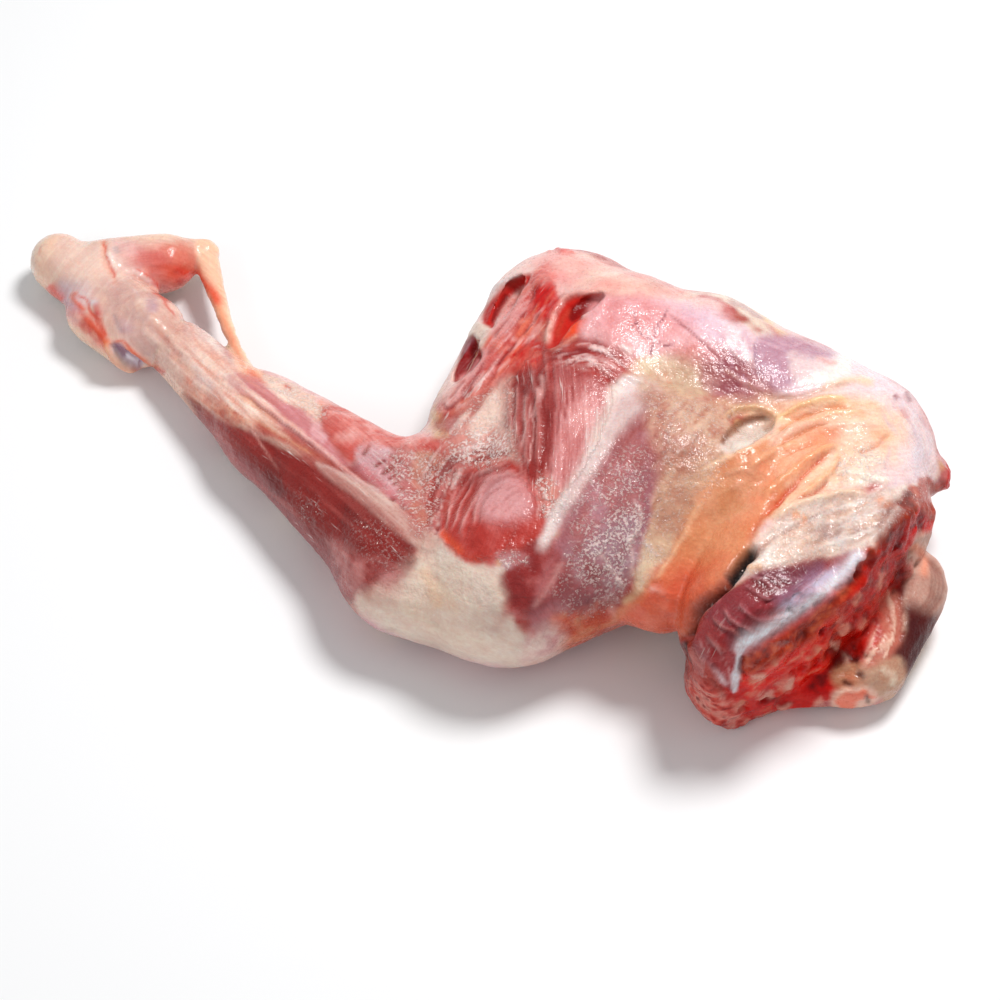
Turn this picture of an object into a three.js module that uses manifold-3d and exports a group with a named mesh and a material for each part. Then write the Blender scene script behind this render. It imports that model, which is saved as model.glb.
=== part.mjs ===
// Bone-in leg of mutton: the raw hind leg of a sheep, from the hock to the sawn rump.
// It lies on its side on a flat underside. Millimetres, +Z up, hock towards -X,
// the sawn end towards +X and -Y.
import * as THREE from 'three';
import Module from 'manifold-3d';

const wasm = await Module();
wasm.setup();

// Driving sizes, in millimetres
const MEAT_GRID = 9.4; // spacing of the surface net over the meat
const BONE_GRID = 6.6; // over the hock and the hip bone
const TENDON_GRID = 3.8; // over the thin heel tendon
const FINE_GRID = 5.0; // over the flap and the torn pockets
const MUSCLE_BLEND = 14; // width of the fillets where neighbouring muscles meet
const BONE_BLEND = 5;
const TENDON_BLEND = 3;
const SEAT_GAP = 0.4; // clearance between pieces that touch
const SHORTEST_EDGE = 0.12; // edges that a cut leaves shorter than this are closed up

// Looks of the raw pieces
const LOOKS = {
  leg_meat: { color: 0x9c4a44, roughness: 0.35 },
  shank_bone: { color: 0xe2c3ae, roughness: 0.4 },
  heel_tendon: { color: 0xe0a27c, roughness: 0.35 },
  hip_bone: { color: 0xa8523a, roughness: 0.5 },
};

// A muscle is a tapered round bar from one point to another, flattened in height.
const bar = (from, to, radii, flat = 1) => ({ from, to, radii, flat });

// Muscles of the shank, between the hock and the knee
const SHANK = {
  shin: bar([-179, 125, 18], [-124, 61, 24], [17, 24], 0.9),
  shinHead: bar([-126, 60, 24], [-61, -10, 30], [22, 32], 0.9),
  calf: bar([-125, 89, 24], [-53, 19, 38], [12, 22], 0.9),
  calfHead: bar([-52, 18, 38], [-16, 21, 46], [21, 31], 0.9),
};

// Muscles of the thigh, and the smooth lobe of fat beside the flank
const THIGH = {
  knee: bar([-9, -40, 34], [-44, -28, 33], [41, 41], 0.85),
  quadriceps: bar([84, 6, 50], [6, -43, 42], [56, 46]),
  biceps: bar([63, 86, 51], [31, -2, 48], [51, 46], 1.05),
  hamstring: bar([37, 112, 46], [-1, 51, 42], [49, 38], 0.9),
  fatLobe: bar([124, -8, 82], [83, -54, 53], [23, 26]),
};

// The rump behind the thigh
const RUMP = {
  gluteus: bar([106, 72, 50], [158, 44, 46], [52, 46]),
  rump: bar([158, 47, 46], [189, 39, 42], [46, 41]),
  rumpTip: bar([196, 30, 44], [233, 18, 44], [34, 7]),
  sirloin: bar([178, 16, 52], [184, -54, 55], [42, 43]),
};

// The flank bulges beside the thigh, with a deep cleft between it and the fat lobe
const FLANK = {
  loin: bar([150, -6, 56], [130, -84, 61], [44, 42]),
  belly: bar([124, -88, 24], [190, -79, 24], [30, 38]),
};

// The edge of the flank muscle hangs over the sawn end as a flap, down to a pointed tip
const FLAP = {
  tip: bar([118, -109, 44], [126, -98, 66], [4, 14]),
  edge: bar([126, -98, 66], [167, -68, 74], [14, 14]),
  rim: bar([167, -68, 74], [204, -29, 74], [14, 9]),
};

// A fold of belly fat that lies on the floor beyond the sawn end
const FAT_FOLD = {
  back: bar([210, -38, 24], [190, -80, 18], [23, 20]),
  shred: bar([145, -90, 14], [182, -87, 15], [13, 14]),
};

// Pockets that are torn into the membrane at the upper edge of the thigh
const POCKETS = {
  upper: bar([-3, 105, 80], [9, 120, 76], [9, 8]),
  lower: bar([-22, 71, 66], [-14, 87, 67], [6, 6]),
  slit: bar([29, 84, 101], [52, 95, 101], [5, 5]),
};

// The hock joint, its heel bone, and the shank bone that runs on inside the shin
const SHANK_BONE = {
  hock: bar([-250, 187, 18], [-194, 137, 19], [17, 19]),
  ankle: bar([-226, 150, 17], [-205, 132, 17], [17, 17]),
  heel: bar([-224, 181, 20], [-190, 184, 21], [17, 17]),
  heelTip: bar([-190, 186, 21], [-168, 191, 21], [13, 9]),
  shankBone: bar([-194, 137, 19], [-120, 58, 24], [13, 9]),
};

// The heel tendon, from the tip of the heel bone down into the calf
const TENDON_ROUTE = [
  { at: [-168, 190, 21], radius: 8 },
  { at: [-159, 161, 21], radius: 5 },
  { at: [-151, 135, 22], radius: 3.4 },
  { at: [-144, 116, 24], radius: 3.2 },
  { at: [-135, 98, 26], radius: 3.6 },
  { at: [-122, 80, 28], radius: 5 },
];

// The sawn end is a slightly bulging face, the side of a wide dome
const SAW = {
  centre: [195, -63, 50], // the crown of the dome
  heading: 48, // degrees that it faces to the right of straight ahead
  lean: 3, // degrees that it looks up
  bulge: 28, // fall of the dome from its crown over the reach
  reach: 95,
  radius: 208, // how far the cut runs out from the crown
  depth: 200, // how much lies beyond the cut
  rings: 10, // facets from the crown outwards
  spokes: 48,
};

// The hip bone shows in the sawn end as a flat bar under the top edge
const HIP_BONE = {
  length: 92,
  thickness: 15,
  depth: 60,
  rounding: 6,
  shift: 14, // along the face, away from the rump
  height: 22, // above the face's centre
};

// Geometry helpers
const clamp = (value, low, high) => Math.min(Math.max(value, low), high);

function barDistance({ from, to, radii, flat }, p) {
  const along = to.map((value, k) => value - from[k]);
  const offset = p.map((value, k) => value - from[k]);
  const dot = along[0] * offset[0] + along[1] * offset[1] + along[2] * offset[2];
  const t = clamp(dot / (along[0] ** 2 + along[1] ** 2 + along[2] ** 2), 0, 1);
  const [x, y, z] = offset.map((value, k) => value - t * along[k]);
  return Math.hypot(x, y, z / flat) - (radii[0] + (radii[1] - radii[0]) * t);
}

// The smooth union of several distances. The sum of exponentials fillets a groove
// over about four of its own widths.
function blended(distances, blend) {
  const nearest = Math.min(...distances);
  const width = blend / 4;
  const total = distances.reduce((sum, d) => sum + Math.exp((nearest - d) / width), 0);
  return nearest - width * Math.log(total);
}

const bundle = (bars, blend) => {
  const list = Object.values(bars);
  return (p) => blended(list.map((one) => barDistance(one, p)), blend);
};

// Solids: a net of quadrilaterals over the surface where a field is zero. A piece is pressed
// flat where it would reach below the floor, and a seat, which has a level, isn't.
const CORNERS = [0, 1, 2, 3, 4, 5, 6, 7].map((n) => [n & 1, (n >> 1) & 1, n >> 2]);
const EDGES = CORNERS.flatMap((a, i) => CORNERS.map((b, j) => [i, j]))
  .filter(([i, j]) => i < j && CORNERS[i].filter((v, k) => v !== CORNERS[j][k]).length === 1);
const NUDGE = 0.05; // step over which a slope is measured
const LEAST_SLOPE = 0.5; // keeps a point from being thrown far off where a field is flat
const SETTLE_ROUNDS = 3;

function gradient(field, p) {
  return [0, 1, 2].map((k) => {
    const ahead = p.map((v, m) => (m === k ? v + NUDGE : v));
    const behind = p.map((v, m) => (m === k ? v - NUDGE : v));
    return (field(ahead) - field(behind)) / (2 * NUDGE);
  });
}

// Slides a point of the net to where the field has a level, by at most half a cell
function settle(field, start, step, level) {
  let p = start;
  for (let round = 0; round < SETTLE_ROUNDS; round += 1) {
    const slope = gradient(field, p);
    const steep = Math.max(slope[0] ** 2 + slope[1] ** 2 + slope[2] ** 2, LEAST_SLOPE ** 2);
    const move = (field(p) - level) / steep;
    p = p.map((v, k) => clamp(v - move * slope[k], start[k] - step / 2, start[k] + step / 2));
  }
  return p;
}

function sampleGrid(field, low, high, step) {
  const count = low.map((v, k) => Math.ceil((high[k] - v) / step) + 2);
  const index = (i, j, k) => (k * count[1] + j) * count[0] + i;
  const place = (i, j, k) => [low[0] + i * step, low[1] + j * step, low[2] + k * step];
  const values = new Float64Array(count[0] * count[1] * count[2]);
  for (let k = 0; k < count[2]; k += 1) {
    for (let j = 0; j < count[1]; j += 1) {
      for (let i = 0; i < count[0]; i += 1) values[index(i, j, k)] = field(place(i, j, k));
    }
  }
  return { count, index, place, values };
}

// One vertex for each cell that the surface passes through
function netVertex(grid, cell) {
  const values = CORNERS.map((c) => grid.values[grid.index(...cell.map((v, k) => v + c[k]))]);
  const sum = [0, 0, 0];
  let hits = 0;
  for (const [a, b] of EDGES) {
    if (values[a] < 0 === values[b] < 0) continue;
    const t = values[a] / (values[a] - values[b]);
    for (let k = 0; k < 3; k += 1) sum[k] += CORNERS[a][k] * (1 - t) + CORNERS[b][k] * t;
    hits += 1;
  }
  return hits ? sum.map((v, k) => cell[k] + v / hits) : null;
}

// The shorter diagonal splits a quadrilateral in two triangles
function pushQuad(triangles, points, corners) {
  const [a, b, c, d] = corners;
  const gap = (m, n) => Math.hypot(...points[m].map((v, k) => v - points[n][k]));
  if (gap(a, c) < gap(b, d)) triangles.push(a, b, c, a, c, d);
  else triangles.push(b, c, d, b, d, a);
}

// The grid edges that the surface crosses, each with the ring of four cells round it,
// in the order that makes their quadrilateral face out
function crossings({ count, index, values }) {
  const found = [];
  const inside = (spot) => values[index(...spot)] < 0;
  const around = [[1, 1], [0, 1], [0, 0], [1, 0]];
  const look = (spot, axis) => {
    const next = spot.map((v, m) => (m === axis ? v + 1 : v));
    if (inside(spot) === inside(next)) return;
    const ring = around.map(([b, c]) => {
      const cell = [...spot];
      cell[(axis + 1) % 3] -= b;
      cell[(axis + 2) % 3] -= c;
      return cell;
    });
    found.push(inside(spot) ? ring : ring.reverse());
  };
  for (let k = 1; k < count[2] - 1; k += 1) {
    for (let j = 1; j < count[1] - 1; j += 1) {
      for (let i = 1; i < count[0] - 1; i += 1) [0, 1, 2].forEach((axis) => look([i, j, k], axis));
    }
  }
  return found;
}

function net(field, [low, high], step, level = 0) {
  const floor = level > 0 ? -Infinity : 0;
  const grid = sampleGrid(field, low, high, step);
  const vertexOf = new Map();
  const points = [];
  const vertex = (cell) => {
    const key = grid.index(...cell);
    if (!vertexOf.has(key)) {
      const spot = netVertex(grid, cell);
      vertexOf.set(key, points.length);
      const [x, y, z] = settle(field, grid.place(...spot), step, level);
      points.push([x, y, Math.max(z, floor)]);
    }
    return vertexOf.get(key);
  };
  const triangles = [];
  crossings(grid).forEach((ring) => pushQuad(triangles, points, ring.map(vertex)));
  return solidFrom(points.flat(), triangles);
}

// Joins corners that a cut has left closer together than the shortest edge. Two corners
// that share more than two neighbours stay apart, because joining them would pinch the solid.
function closedUp(solid) {
  const { vertProperties, triVerts } = solid.getMesh();
  const spot = (n) => Array.from(vertProperties.subarray(3 * n, 3 * n + 3));
  const triangles = [];
  const fans = Array.from({ length: vertProperties.length / 3 }, () => new Set());
  for (let n = 0; n < triVerts.length; n += 3) {
    const corners = Array.from(triVerts.subarray(n, n + 3));
    corners.forEach((v) => fans[v].add(corners));
    triangles.push(corners);
  }
  const ring = (v) => new Set([...fans[v]].flat());
  const close = (a, b) => Math.hypot(...spot(a).map((v, k) => v - spot(b)[k])) < SHORTEST_EDGE;
  const join = (keep, lost) => {
    for (const corners of fans[lost]) {
      if (corners.includes(keep)) corners.forEach((v) => v !== lost && fans[v].delete(corners));
      else fans[keep].add(corners);
      corners[corners.indexOf(lost)] = keep;
    }
    fans[lost].clear();
  };
  for (const corners of triangles) {
    for (const [a, b] of [[0, 1], [1, 2], [2, 0]].map((pair) => pair.map((k) => corners[k]))) {
      const live = a !== b && fans[a].has(corners) && fans[b].has(corners);
      if (!live || !close(a, b)) continue;
      const shared = [...ring(a)].filter((v) => v !== a && v !== b && ring(b).has(v));
      if (shared.length === 2) join(a, b);
    }
  }
  const kept = triangles.filter(([a, b, c]) => a !== b && b !== c && c !== a);
  return solidFrom(vertProperties, kept.flat());
}

// Drops the loose scraps that a cut leaves
function withoutScraps(solid) {
  return solid.decompose().reduce((best, one) => (one.volume() > best.volume() ? one : best));
}

function solidFrom(positions, triangles) {
  return new wasm.Manifold(new wasm.Mesh({
    numProp: 3,
    vertProperties: new Float32Array(positions),
    triVerts: new Uint32Array(triangles),
  }));
}

// The box round a set of bars
function reachOf(bars, margin) {
  const list = Object.values(bars);
  const ends = list.flatMap(({ from, to, radii, flat }) => [from, to].map((at, n) => {
    const r = radii[n] * Math.max(1, flat) + margin;
    return [at.map((v) => v - r), at.map((v) => v + r)];
  }));
  const low = [0, 1, 2].map((k) => Math.min(...ends.map(([a]) => a[k])));
  const high = [0, 1, 2].map((k) => Math.max(...ends.map(([, b]) => b[k])));
  return [low, high];
}

// A three.js geometry as a solid, with its doubled corners joined
function solidOf(geometry, matrix = new THREE.Matrix4()) {
  const placed = geometry.clone().applyMatrix4(matrix);
  const source = placed.getAttribute('position');
  const found = new Map();
  const positions = [];
  const order = [];
  for (let n = 0; n < source.count; n += 1) {
    const spot = [source.getX(n), source.getY(n), source.getZ(n)];
    const key = spot.map((v) => Math.round(v * 1000)).join();
    if (!found.has(key)) {
      found.set(key, found.size);
      positions.push(...spot);
    }
    order.push(found.get(key));
  }
  const faces = placed.index ? Array.from(placed.index.array, (n) => order[n]) : order;
  const triangles = [];
  for (let n = 0; n < faces.length; n += 3) {
    const [a, b, c] = faces.slice(n, n + 3);
    if (a !== b && b !== c && c !== a) triangles.push(a, b, c);
  }
  return solidFrom(positions, triangles);
}

// The frame of the sawn face: its y axis points out of the meat, its x axis along the face
function sawFrame() {
  const turn = new THREE.Matrix4().makeRotationZ(-Math.PI + THREE.MathUtils.degToRad(SAW.heading));
  const tip = new THREE.Matrix4().makeRotationX(THREE.MathUtils.degToRad(SAW.lean));
  return new THREE.Matrix4().makeTranslation(...SAW.centre).multiply(turn).multiply(tip);
}

// What the saw takes away: everything beyond a shallow dome
function sawnOff() {
  const domeRadius = (SAW.reach ** 2 + SAW.bulge ** 2) / (2 * SAW.bulge);
  const profile = [];
  for (let n = 0; n <= SAW.rings; n += 1) {
    const r = (SAW.radius * n) / SAW.rings;
    const drop = r < domeRadius ? domeRadius - Math.sqrt(domeRadius ** 2 - r ** 2) : domeRadius;
    profile.push(new THREE.Vector2(r, -drop));
  }
  profile.push(new THREE.Vector2(SAW.radius, SAW.depth));
  profile.push(new THREE.Vector2(0, SAW.depth));
  return solidOf(new THREE.LatheGeometry(profile, SAW.spokes), sawFrame());
}

// Distance to the hip bone, a rounded slab set in the frame of the sawn face
function hipField() {
  const back = sawFrame().invert();
  const spot = new THREE.Vector3();
  const { length, thickness, depth, rounding, shift, height } = HIP_BONE;
  const half = [length / 2, depth, thickness / 2].map((v) => v - rounding);
  return (p) => {
    spot.set(...p).applyMatrix4(back);
    const q = [spot.x - shift, spot.y, spot.z - height].map((v, k) => Math.abs(v) - half[k]);
    const outside = Math.hypot(...q.map((v) => Math.max(v, 0)));
    return outside + Math.min(Math.max(...q), 0) - rounding;
  };
}

function tendonBars() {
  const pairs = TENDON_ROUTE.slice(1).map((knot, n) => [TENDON_ROUTE[n], knot]);
  return Object.fromEntries(pairs.map(([a, b], n) =>
    [`part${n}`, bar(a.at, b.at, [a.radius, b.radius])]));
}

// Fields of the pieces
const muscleBars = { ...SHANK, ...THIGH, ...RUMP };
const muscleField = bundle(muscleBars, MUSCLE_BLEND);
const flankField = bundle(FLANK, MUSCLE_BLEND);
const flapField = bundle(FLAP, MUSCLE_BLEND);
const foldField = bundle(FAT_FOLD, MUSCLE_BLEND);
const pocketField = bundle(POCKETS, BONE_BLEND);
const boneField = bundle(SHANK_BONE, BONE_BLEND);
const tendonField = bundle(tendonBars(), TENDON_BLEND);
const hipBoneField = hipField();

// Solids of the pieces
const sawn = sawnOff();

const roomFor = (bars, step) => reachOf(bars, 2 * step);
const hipRoom = [-1, 1].map((side) => SAW.centre.map((v) => v + side * HIP_BONE.length));

// A piece, and the seat that is cut for it in its neighbours
const boneNet = (gap) => net(boneField, roomFor(SHANK_BONE, BONE_GRID), BONE_GRID, gap);
const tendonNet = (gap) => net(tendonField, roomFor(tendonBars(), TENDON_GRID), TENDON_GRID, gap);
const hipNet = (gap) => net(hipBoneField, hipRoom, BONE_GRID, gap);

const shankBone = boneNet(0);
const tendon = tendonNet(0).subtract(boneNet(SEAT_GAP));
const hipBone = hipNet(0).subtract(sawn);
const muscles = net(muscleField, roomFor(muscleBars, MEAT_GRID), MEAT_GRID);
const flank = net(flankField, roomFor(FLANK, MEAT_GRID), MEAT_GRID);
const pockets = net(pocketField, roomFor(POCKETS, FINE_GRID), FINE_GRID);
const flap = net(flapField, roomFor(FLAP, FINE_GRID), FINE_GRID);
const fold = net(foldField, roomFor(FAT_FOLD, MEAT_GRID), MEAT_GRID);
const meat = muscles.add(flank).subtract(sawn).subtract(pockets).add(flap).add(fold)
  .subtract(boneNet(SEAT_GAP)).subtract(tendonNet(SEAT_GAP)).subtract(hipNet(SEAT_GAP));

// Meshes
function meshOf(name, solid) {
  const shape = closedUp(withoutScraps(solid)).getMesh();
  const geometry = new THREE.BufferGeometry();
  geometry.setAttribute('position', new THREE.BufferAttribute(shape.vertProperties, 3));
  geometry.setIndex(new THREE.BufferAttribute(shape.triVerts, 1));
  geometry.computeVertexNormals();
  const material = new THREE.MeshStandardMaterial({ ...LOOKS[name], metalness: 0 });
  const mesh = new THREE.Mesh(geometry, material);
  mesh.name = name;
  return mesh;
}

const leg = new THREE.Group();
leg.add(meshOf('leg_meat', meat));
leg.add(meshOf('shank_bone', shankBone));
leg.add(meshOf('heel_tendon', tendon));
leg.add(meshOf('hip_bone', hipBone));

// The origin is under the middle of the leg, on the floor
const extent = new THREE.Box3().setFromObject(leg, true);
const middle = extent.getCenter(new THREE.Vector3());
leg.position.set(-middle.x, -middle.y, -extent.min.z);

const group = new THREE.Group();
group.add(leg);
group.updateMatrixWorld(true);

export default group;
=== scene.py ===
# %% [markdown]
# # A raw leg of mutton on the bone
#
# The leg lies on its side: the hock at the left, the shank running down to the knee, then the thick
# thigh, the rump, and the sawn end with a flap of flank hanging over it. Almost nothing on it is flat
# or even in colour, so the work is to turn four plain solids into one continuous wet surface, and
# then to lay the membranes, tendons, fat and bare muscle on it one at a time.

import math

import bmesh
import bpy
import mathutils
import numpy as np
from mathutils.bvhtree import BVHTree
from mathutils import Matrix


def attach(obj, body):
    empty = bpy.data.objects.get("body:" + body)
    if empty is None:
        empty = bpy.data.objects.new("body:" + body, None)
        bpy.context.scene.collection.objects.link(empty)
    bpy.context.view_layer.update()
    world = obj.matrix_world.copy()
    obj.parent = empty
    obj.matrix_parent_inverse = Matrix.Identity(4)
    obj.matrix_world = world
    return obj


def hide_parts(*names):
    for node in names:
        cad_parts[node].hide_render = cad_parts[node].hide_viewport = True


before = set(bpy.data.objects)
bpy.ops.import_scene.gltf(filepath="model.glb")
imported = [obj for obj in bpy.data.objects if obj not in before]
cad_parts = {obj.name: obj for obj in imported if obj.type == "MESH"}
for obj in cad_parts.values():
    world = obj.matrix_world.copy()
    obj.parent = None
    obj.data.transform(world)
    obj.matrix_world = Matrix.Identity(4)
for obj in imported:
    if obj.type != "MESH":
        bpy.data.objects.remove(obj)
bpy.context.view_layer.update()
MM = 0.001

# %% [markdown]
# ## The camera
#
# The leg is seen from above its long side with a long lens, so the picture has hardly any
# perspective. The camera comes first, because the leg's markings are laid out in the picture's own
# coordinates: a point of the picture, counted in pixels from its top left corner, is followed along
# the line of sight to the skin of the leg. The marks are then stored on the mesh, so they stay in
# place from any other side.

# %% Place the camera
PICTURE = 1000
PIXEL = 0.52 * MM
TILT = math.radians(55)
LENS, SENSOR = 100.0, 36.0
AIM = np.array([0.01486, -0.04402, 0.05])

sight = np.array([0.0, math.cos(TILT), -math.sin(TILT)])
upward = np.array([0.0, math.sin(TILT), math.cos(TILT)])
eye = AIM - sight * PICTURE * PIXEL * LENS / SENSOR

camera_data = bpy.data.cameras.new("camera")
camera_data.lens = LENS
camera_data.sensor_width = SENSOR
camera = bpy.data.objects.new("camera", camera_data)
camera.location = eye
camera.rotation_euler = (math.pi / 2 - TILT, 0, 0)
bpy.context.scene.collection.objects.link(camera)
bpy.context.scene.camera = camera


def to_picture(points):
    """Where points of the model, in metres, show in the picture, in pixels."""
    offset = points - eye
    scale = LENS / SENSOR * PICTURE / (offset @ sight)
    across = PICTURE / 2 + offset[:, 0] * scale
    down = PICTURE / 2 - (offset @ upward) * scale
    return np.column_stack([across, down])


print("camera at", eye.round(3))

# %% [markdown]
# ## One skin for the whole leg
#
# On the real leg the membranes run on from the thigh over the shank to the hock without a seam. The
# solids of the meat, the hock, the tendon and the hip bone are therefore copied, swollen a little so
# that they overlap, and remeshed together with small voxels. The voxels leave a fine even mesh, and
# smoothing takes the flat facets out of it. The swelling is undone afterwards, where it isn't lost
# in the smoothing anyway.

# %% Fuse the solids
VOXEL = 1.32 * MM
SWELL = 0.45 * MM


def points_of(mesh):
    flat = np.empty(len(mesh.vertices) * 3)
    mesh.vertices.foreach_get("co", flat)
    return flat.reshape(-1, 3)


def faces_of(mesh):
    mesh.calc_loop_triangles()
    flat = np.empty(len(mesh.loop_triangles) * 3, int)
    mesh.loop_triangles.foreach_get("vertices", flat)
    return flat.reshape(-1, 3)


def normals_of(points, triangles):
    a, b, c = (points[triangles[:, k]] for k in range(3))
    face = np.cross(b - a, c - a)
    total = np.zeros_like(points)
    for k in range(3):
        for axis in range(3):
            total[:, axis] += np.bincount(triangles[:, k], face[:, axis], len(points))
    return total / np.maximum(np.linalg.norm(total, axis=1, keepdims=True), 1e-12)


def merged_copy(node, swell):
    """The corners and triangles of a node, merged and pushed out along its normals."""
    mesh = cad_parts[node].data
    points, order = np.unique(points_of(mesh).round(7), axis=0, return_inverse=True)
    triangles = order.reshape(-1)[faces_of(mesh)]
    return points + swell * normals_of(points, triangles), triangles


def mesh_from(name, points, faces):
    mesh = bpy.data.meshes.new(name)
    mesh.from_pydata(points.tolist(), [], faces.tolist())
    mesh.validate()
    return mesh


def fused(name, nodes, swell, voxel):
    """One voxel remesh of several nodes."""
    corners, triangles, start = [], [], 0
    for node in nodes:
        points, faces = merged_copy(node, swell)
        corners.append(points)
        triangles.append(faces + start)
        start += len(points)
    source = bpy.data.objects.new(name, mesh_from(name, np.vstack(corners), np.vstack(triangles)))
    bpy.context.scene.collection.objects.link(source)
    remesh = source.modifiers.new("voxels", "REMESH")
    remesh.mode = "VOXEL"
    remesh.voxel_size = voxel
    evaluated = source.evaluated_get(bpy.context.evaluated_depsgraph_get())
    mesh = bpy.data.meshes.new_from_object(evaluated)
    bpy.data.objects.remove(source)
    return mesh


skin = fused("leg", ["leg_meat", "shank_bone", "heel_tendon", "hip_bone"], SWELL, VOXEL)
spots = points_of(skin)
edges = np.empty(len(skin.edges) * 2, int)
skin.edges.foreach_get("vertices", edges)
edges = edges.reshape(-1, 2)
print("fused skin:", len(spots), "points,", len(skin.polygons), "faces")

# %% Smooth the facets away
neighbours = np.bincount(edges.ravel(), minlength=len(spots))


def spread(values, rounds, share=0.5):
    """Averages a value at each point with its neighbours, a number of times."""
    a, b = edges.T
    for _ in range(rounds):
        total = np.bincount(a, values[b], len(values)) + np.bincount(b, values[a], len(values))
        values = values + share * (total / neighbours - values)
    return values


def smoothed(points, rounds):
    """Smoothing that swells back after each step, so that thin parts don't wither."""
    for _ in range(rounds):
        for share in (0.5, -0.52):
            points = np.column_stack([spread(points[:, k], 1, share) for k in range(3)])
    return points


spots = smoothed(spots, 55)
triangles = faces_of(skin)
spots -= SWELL * normals_of(spots, triangles)
print("smoothed box (mm):", (spots.min(0) / MM).round(1), (spots.max(0) / MM).round(1))

# %% [markdown]
# ## Fine in front, coarse behind
#
# The marks on the camera's side are only a millimetre or two wide, so the mesh has to be about as
# fine there. The far side carries broad marks alone. A Decimate modifier thins it, held back from the
# near side by a vertex group.

# %% Thin the far side
KEEP_SHARE = 0.6


def facing_of(points, triangles):
    """The directions of the skin and towards the camera, and how squarely they meet."""
    ahead = normals_of(points, triangles)
    to_eye = eye - points
    to_eye /= np.linalg.norm(to_eye, axis=1, keepdims=True)
    return ahead, to_eye, np.einsum("ij,ij->i", ahead, to_eye)


def thinned(mesh, points, weight):
    """The mesh with fewer faces where the weight is high."""
    mesh.vertices.foreach_set("co", points.ravel())
    body = bpy.data.objects.new("thinning", mesh)
    bpy.context.scene.collection.objects.link(body)
    group = body.vertex_groups.new(name="far")
    tenths = (weight * 10).round()
    for tenth in range(1, 11):
        group.add(np.flatnonzero(tenths == tenth).tolist(), tenth / 10, "REPLACE")
    decimate = body.modifiers.new("thin", "DECIMATE")
    decimate.ratio = KEEP_SHARE
    decimate.vertex_group = group.name
    decimate.vertex_group_factor = 10.0
    thin = bpy.data.meshes.new_from_object(body.evaluated_get(bpy.context.evaluated_depsgraph_get()))
    bpy.data.objects.remove(body)
    return thin


skin = thinned(skin, spots, np.clip((-0.05 - facing_of(spots, triangles)[2]) / 0.2, 0, 1))
spots = points_of(skin)
triangles = faces_of(skin)
edges = np.empty(len(skin.edges) * 2, int)
skin.edges.foreach_get("vertices", edges)
edges = edges.reshape(-1, 2)
neighbours = np.bincount(edges.ravel(), minlength=len(spots))
print("thinned skin:", len(spots), "points,", len(triangles), "triangles")

# %% [markdown]
# ## Tools for marking the skin
#
# A butcher knows this leg as a set of named places: the calf, the knee cap's fascia, the flank. Each
# is marked on the skin as an outline or as a line in the picture, with a colour, a height that lifts
# or sinks the skin, and a ragged edge that comes from noise. An outline or a line is written as text,
# with each point's place across and down the picture in pixels. Only the skin that the camera can see
# takes these marks; the far side is coloured by its own rules further down.

# %% Noise in numpy
def noise(points, size, seed=0):
    """Smooth noise from -1 to 1 with lumps of about the given size."""
    place = points / size + 31.7 + 17.3 * seed
    cell = np.floor(place).astype(np.int64)
    part = place - cell
    part = part * part * (3 - 2 * part)
    total = np.zeros(len(points))
    for corner in np.ndindex(*(2,) * points.shape[1]):
        key = (cell + corner) @ np.array([73856093, 19349663, 83492791])[: len(corner)]
        key = (key ^ (key >> 13)) * 1274126177 & 0x7FFFFFFF
        key = (key ^ (key >> 11)) * 69069 & 0x7FFFFFFF
        weight = np.prod(np.where(corner, part, 1 - part), axis=1)
        total += weight * (key / 0x3FFFFFFF - 1)
    return total


def rough_noise(points, size, octaves=3, seed=0):
    """Noise with finer and finer lumps, as torn meat has."""
    return sum(noise(points, size / 2**n, seed + n) / 1.6**n for n in range(octaves)) / 1.6


def ramp(low, high, value):
    t = np.clip((value - low) / (high - low), 0, 1)
    return t * t * (3 - 2 * t)


print("noise spread:", noise(spots, 0.02).std().round(3))

# %% What the camera sees
ahead, to_eye, facing = facing_of(spots, triangles)
marks = to_picture(spots)
tree = BVHTree.FromPolygons(spots.tolist(), triangles.tolist())
CLEAR = 2.5 * MM


def in_view(n):
    """Whether nothing lies between a point and the camera, but for the point's own bulge."""
    if facing[n] < -0.25:
        return 0.0
    start = spots[n] + CLEAR * (ahead[n] + to_eye[n])
    return float(tree.ray_cast(start.tolist(), to_eye[n].tolist())[0] is None)


open_sky = np.array([in_view(n) for n in range(len(spots))])
seen = spread(open_sky, 3) * ramp(-0.2, 0.12, facing)
print("share of the skin in view:", seen.mean().round(3))

# %% Outlines and lines in the picture
tone = np.zeros((len(spots), 3))
lift = np.zeros(len(spots))
gloss = np.full(len(spots), 0.3)
frost = np.zeros(len(spots))
veil = np.zeros(len(spots))
fibre = np.full(len(spots), 0.15)
bare = np.zeros(len(spots))
flow = spots * np.array([0.35, 1, 1])
wander = np.column_stack([rough_noise(spots, 9 * MM, 3, seed) for seed in (1, 2)])


DEPTH = 1.17


def linear(rgb):
    """A colour as a screen shows it, 0 to 255, in linear light, deepened against the wet film's haze."""
    s = np.array(rgb) / 255
    return np.where(s < 0.04045, s / 12.92, ((s + 0.055) / 1.055) ** 2.4) ** DEPTH


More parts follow.
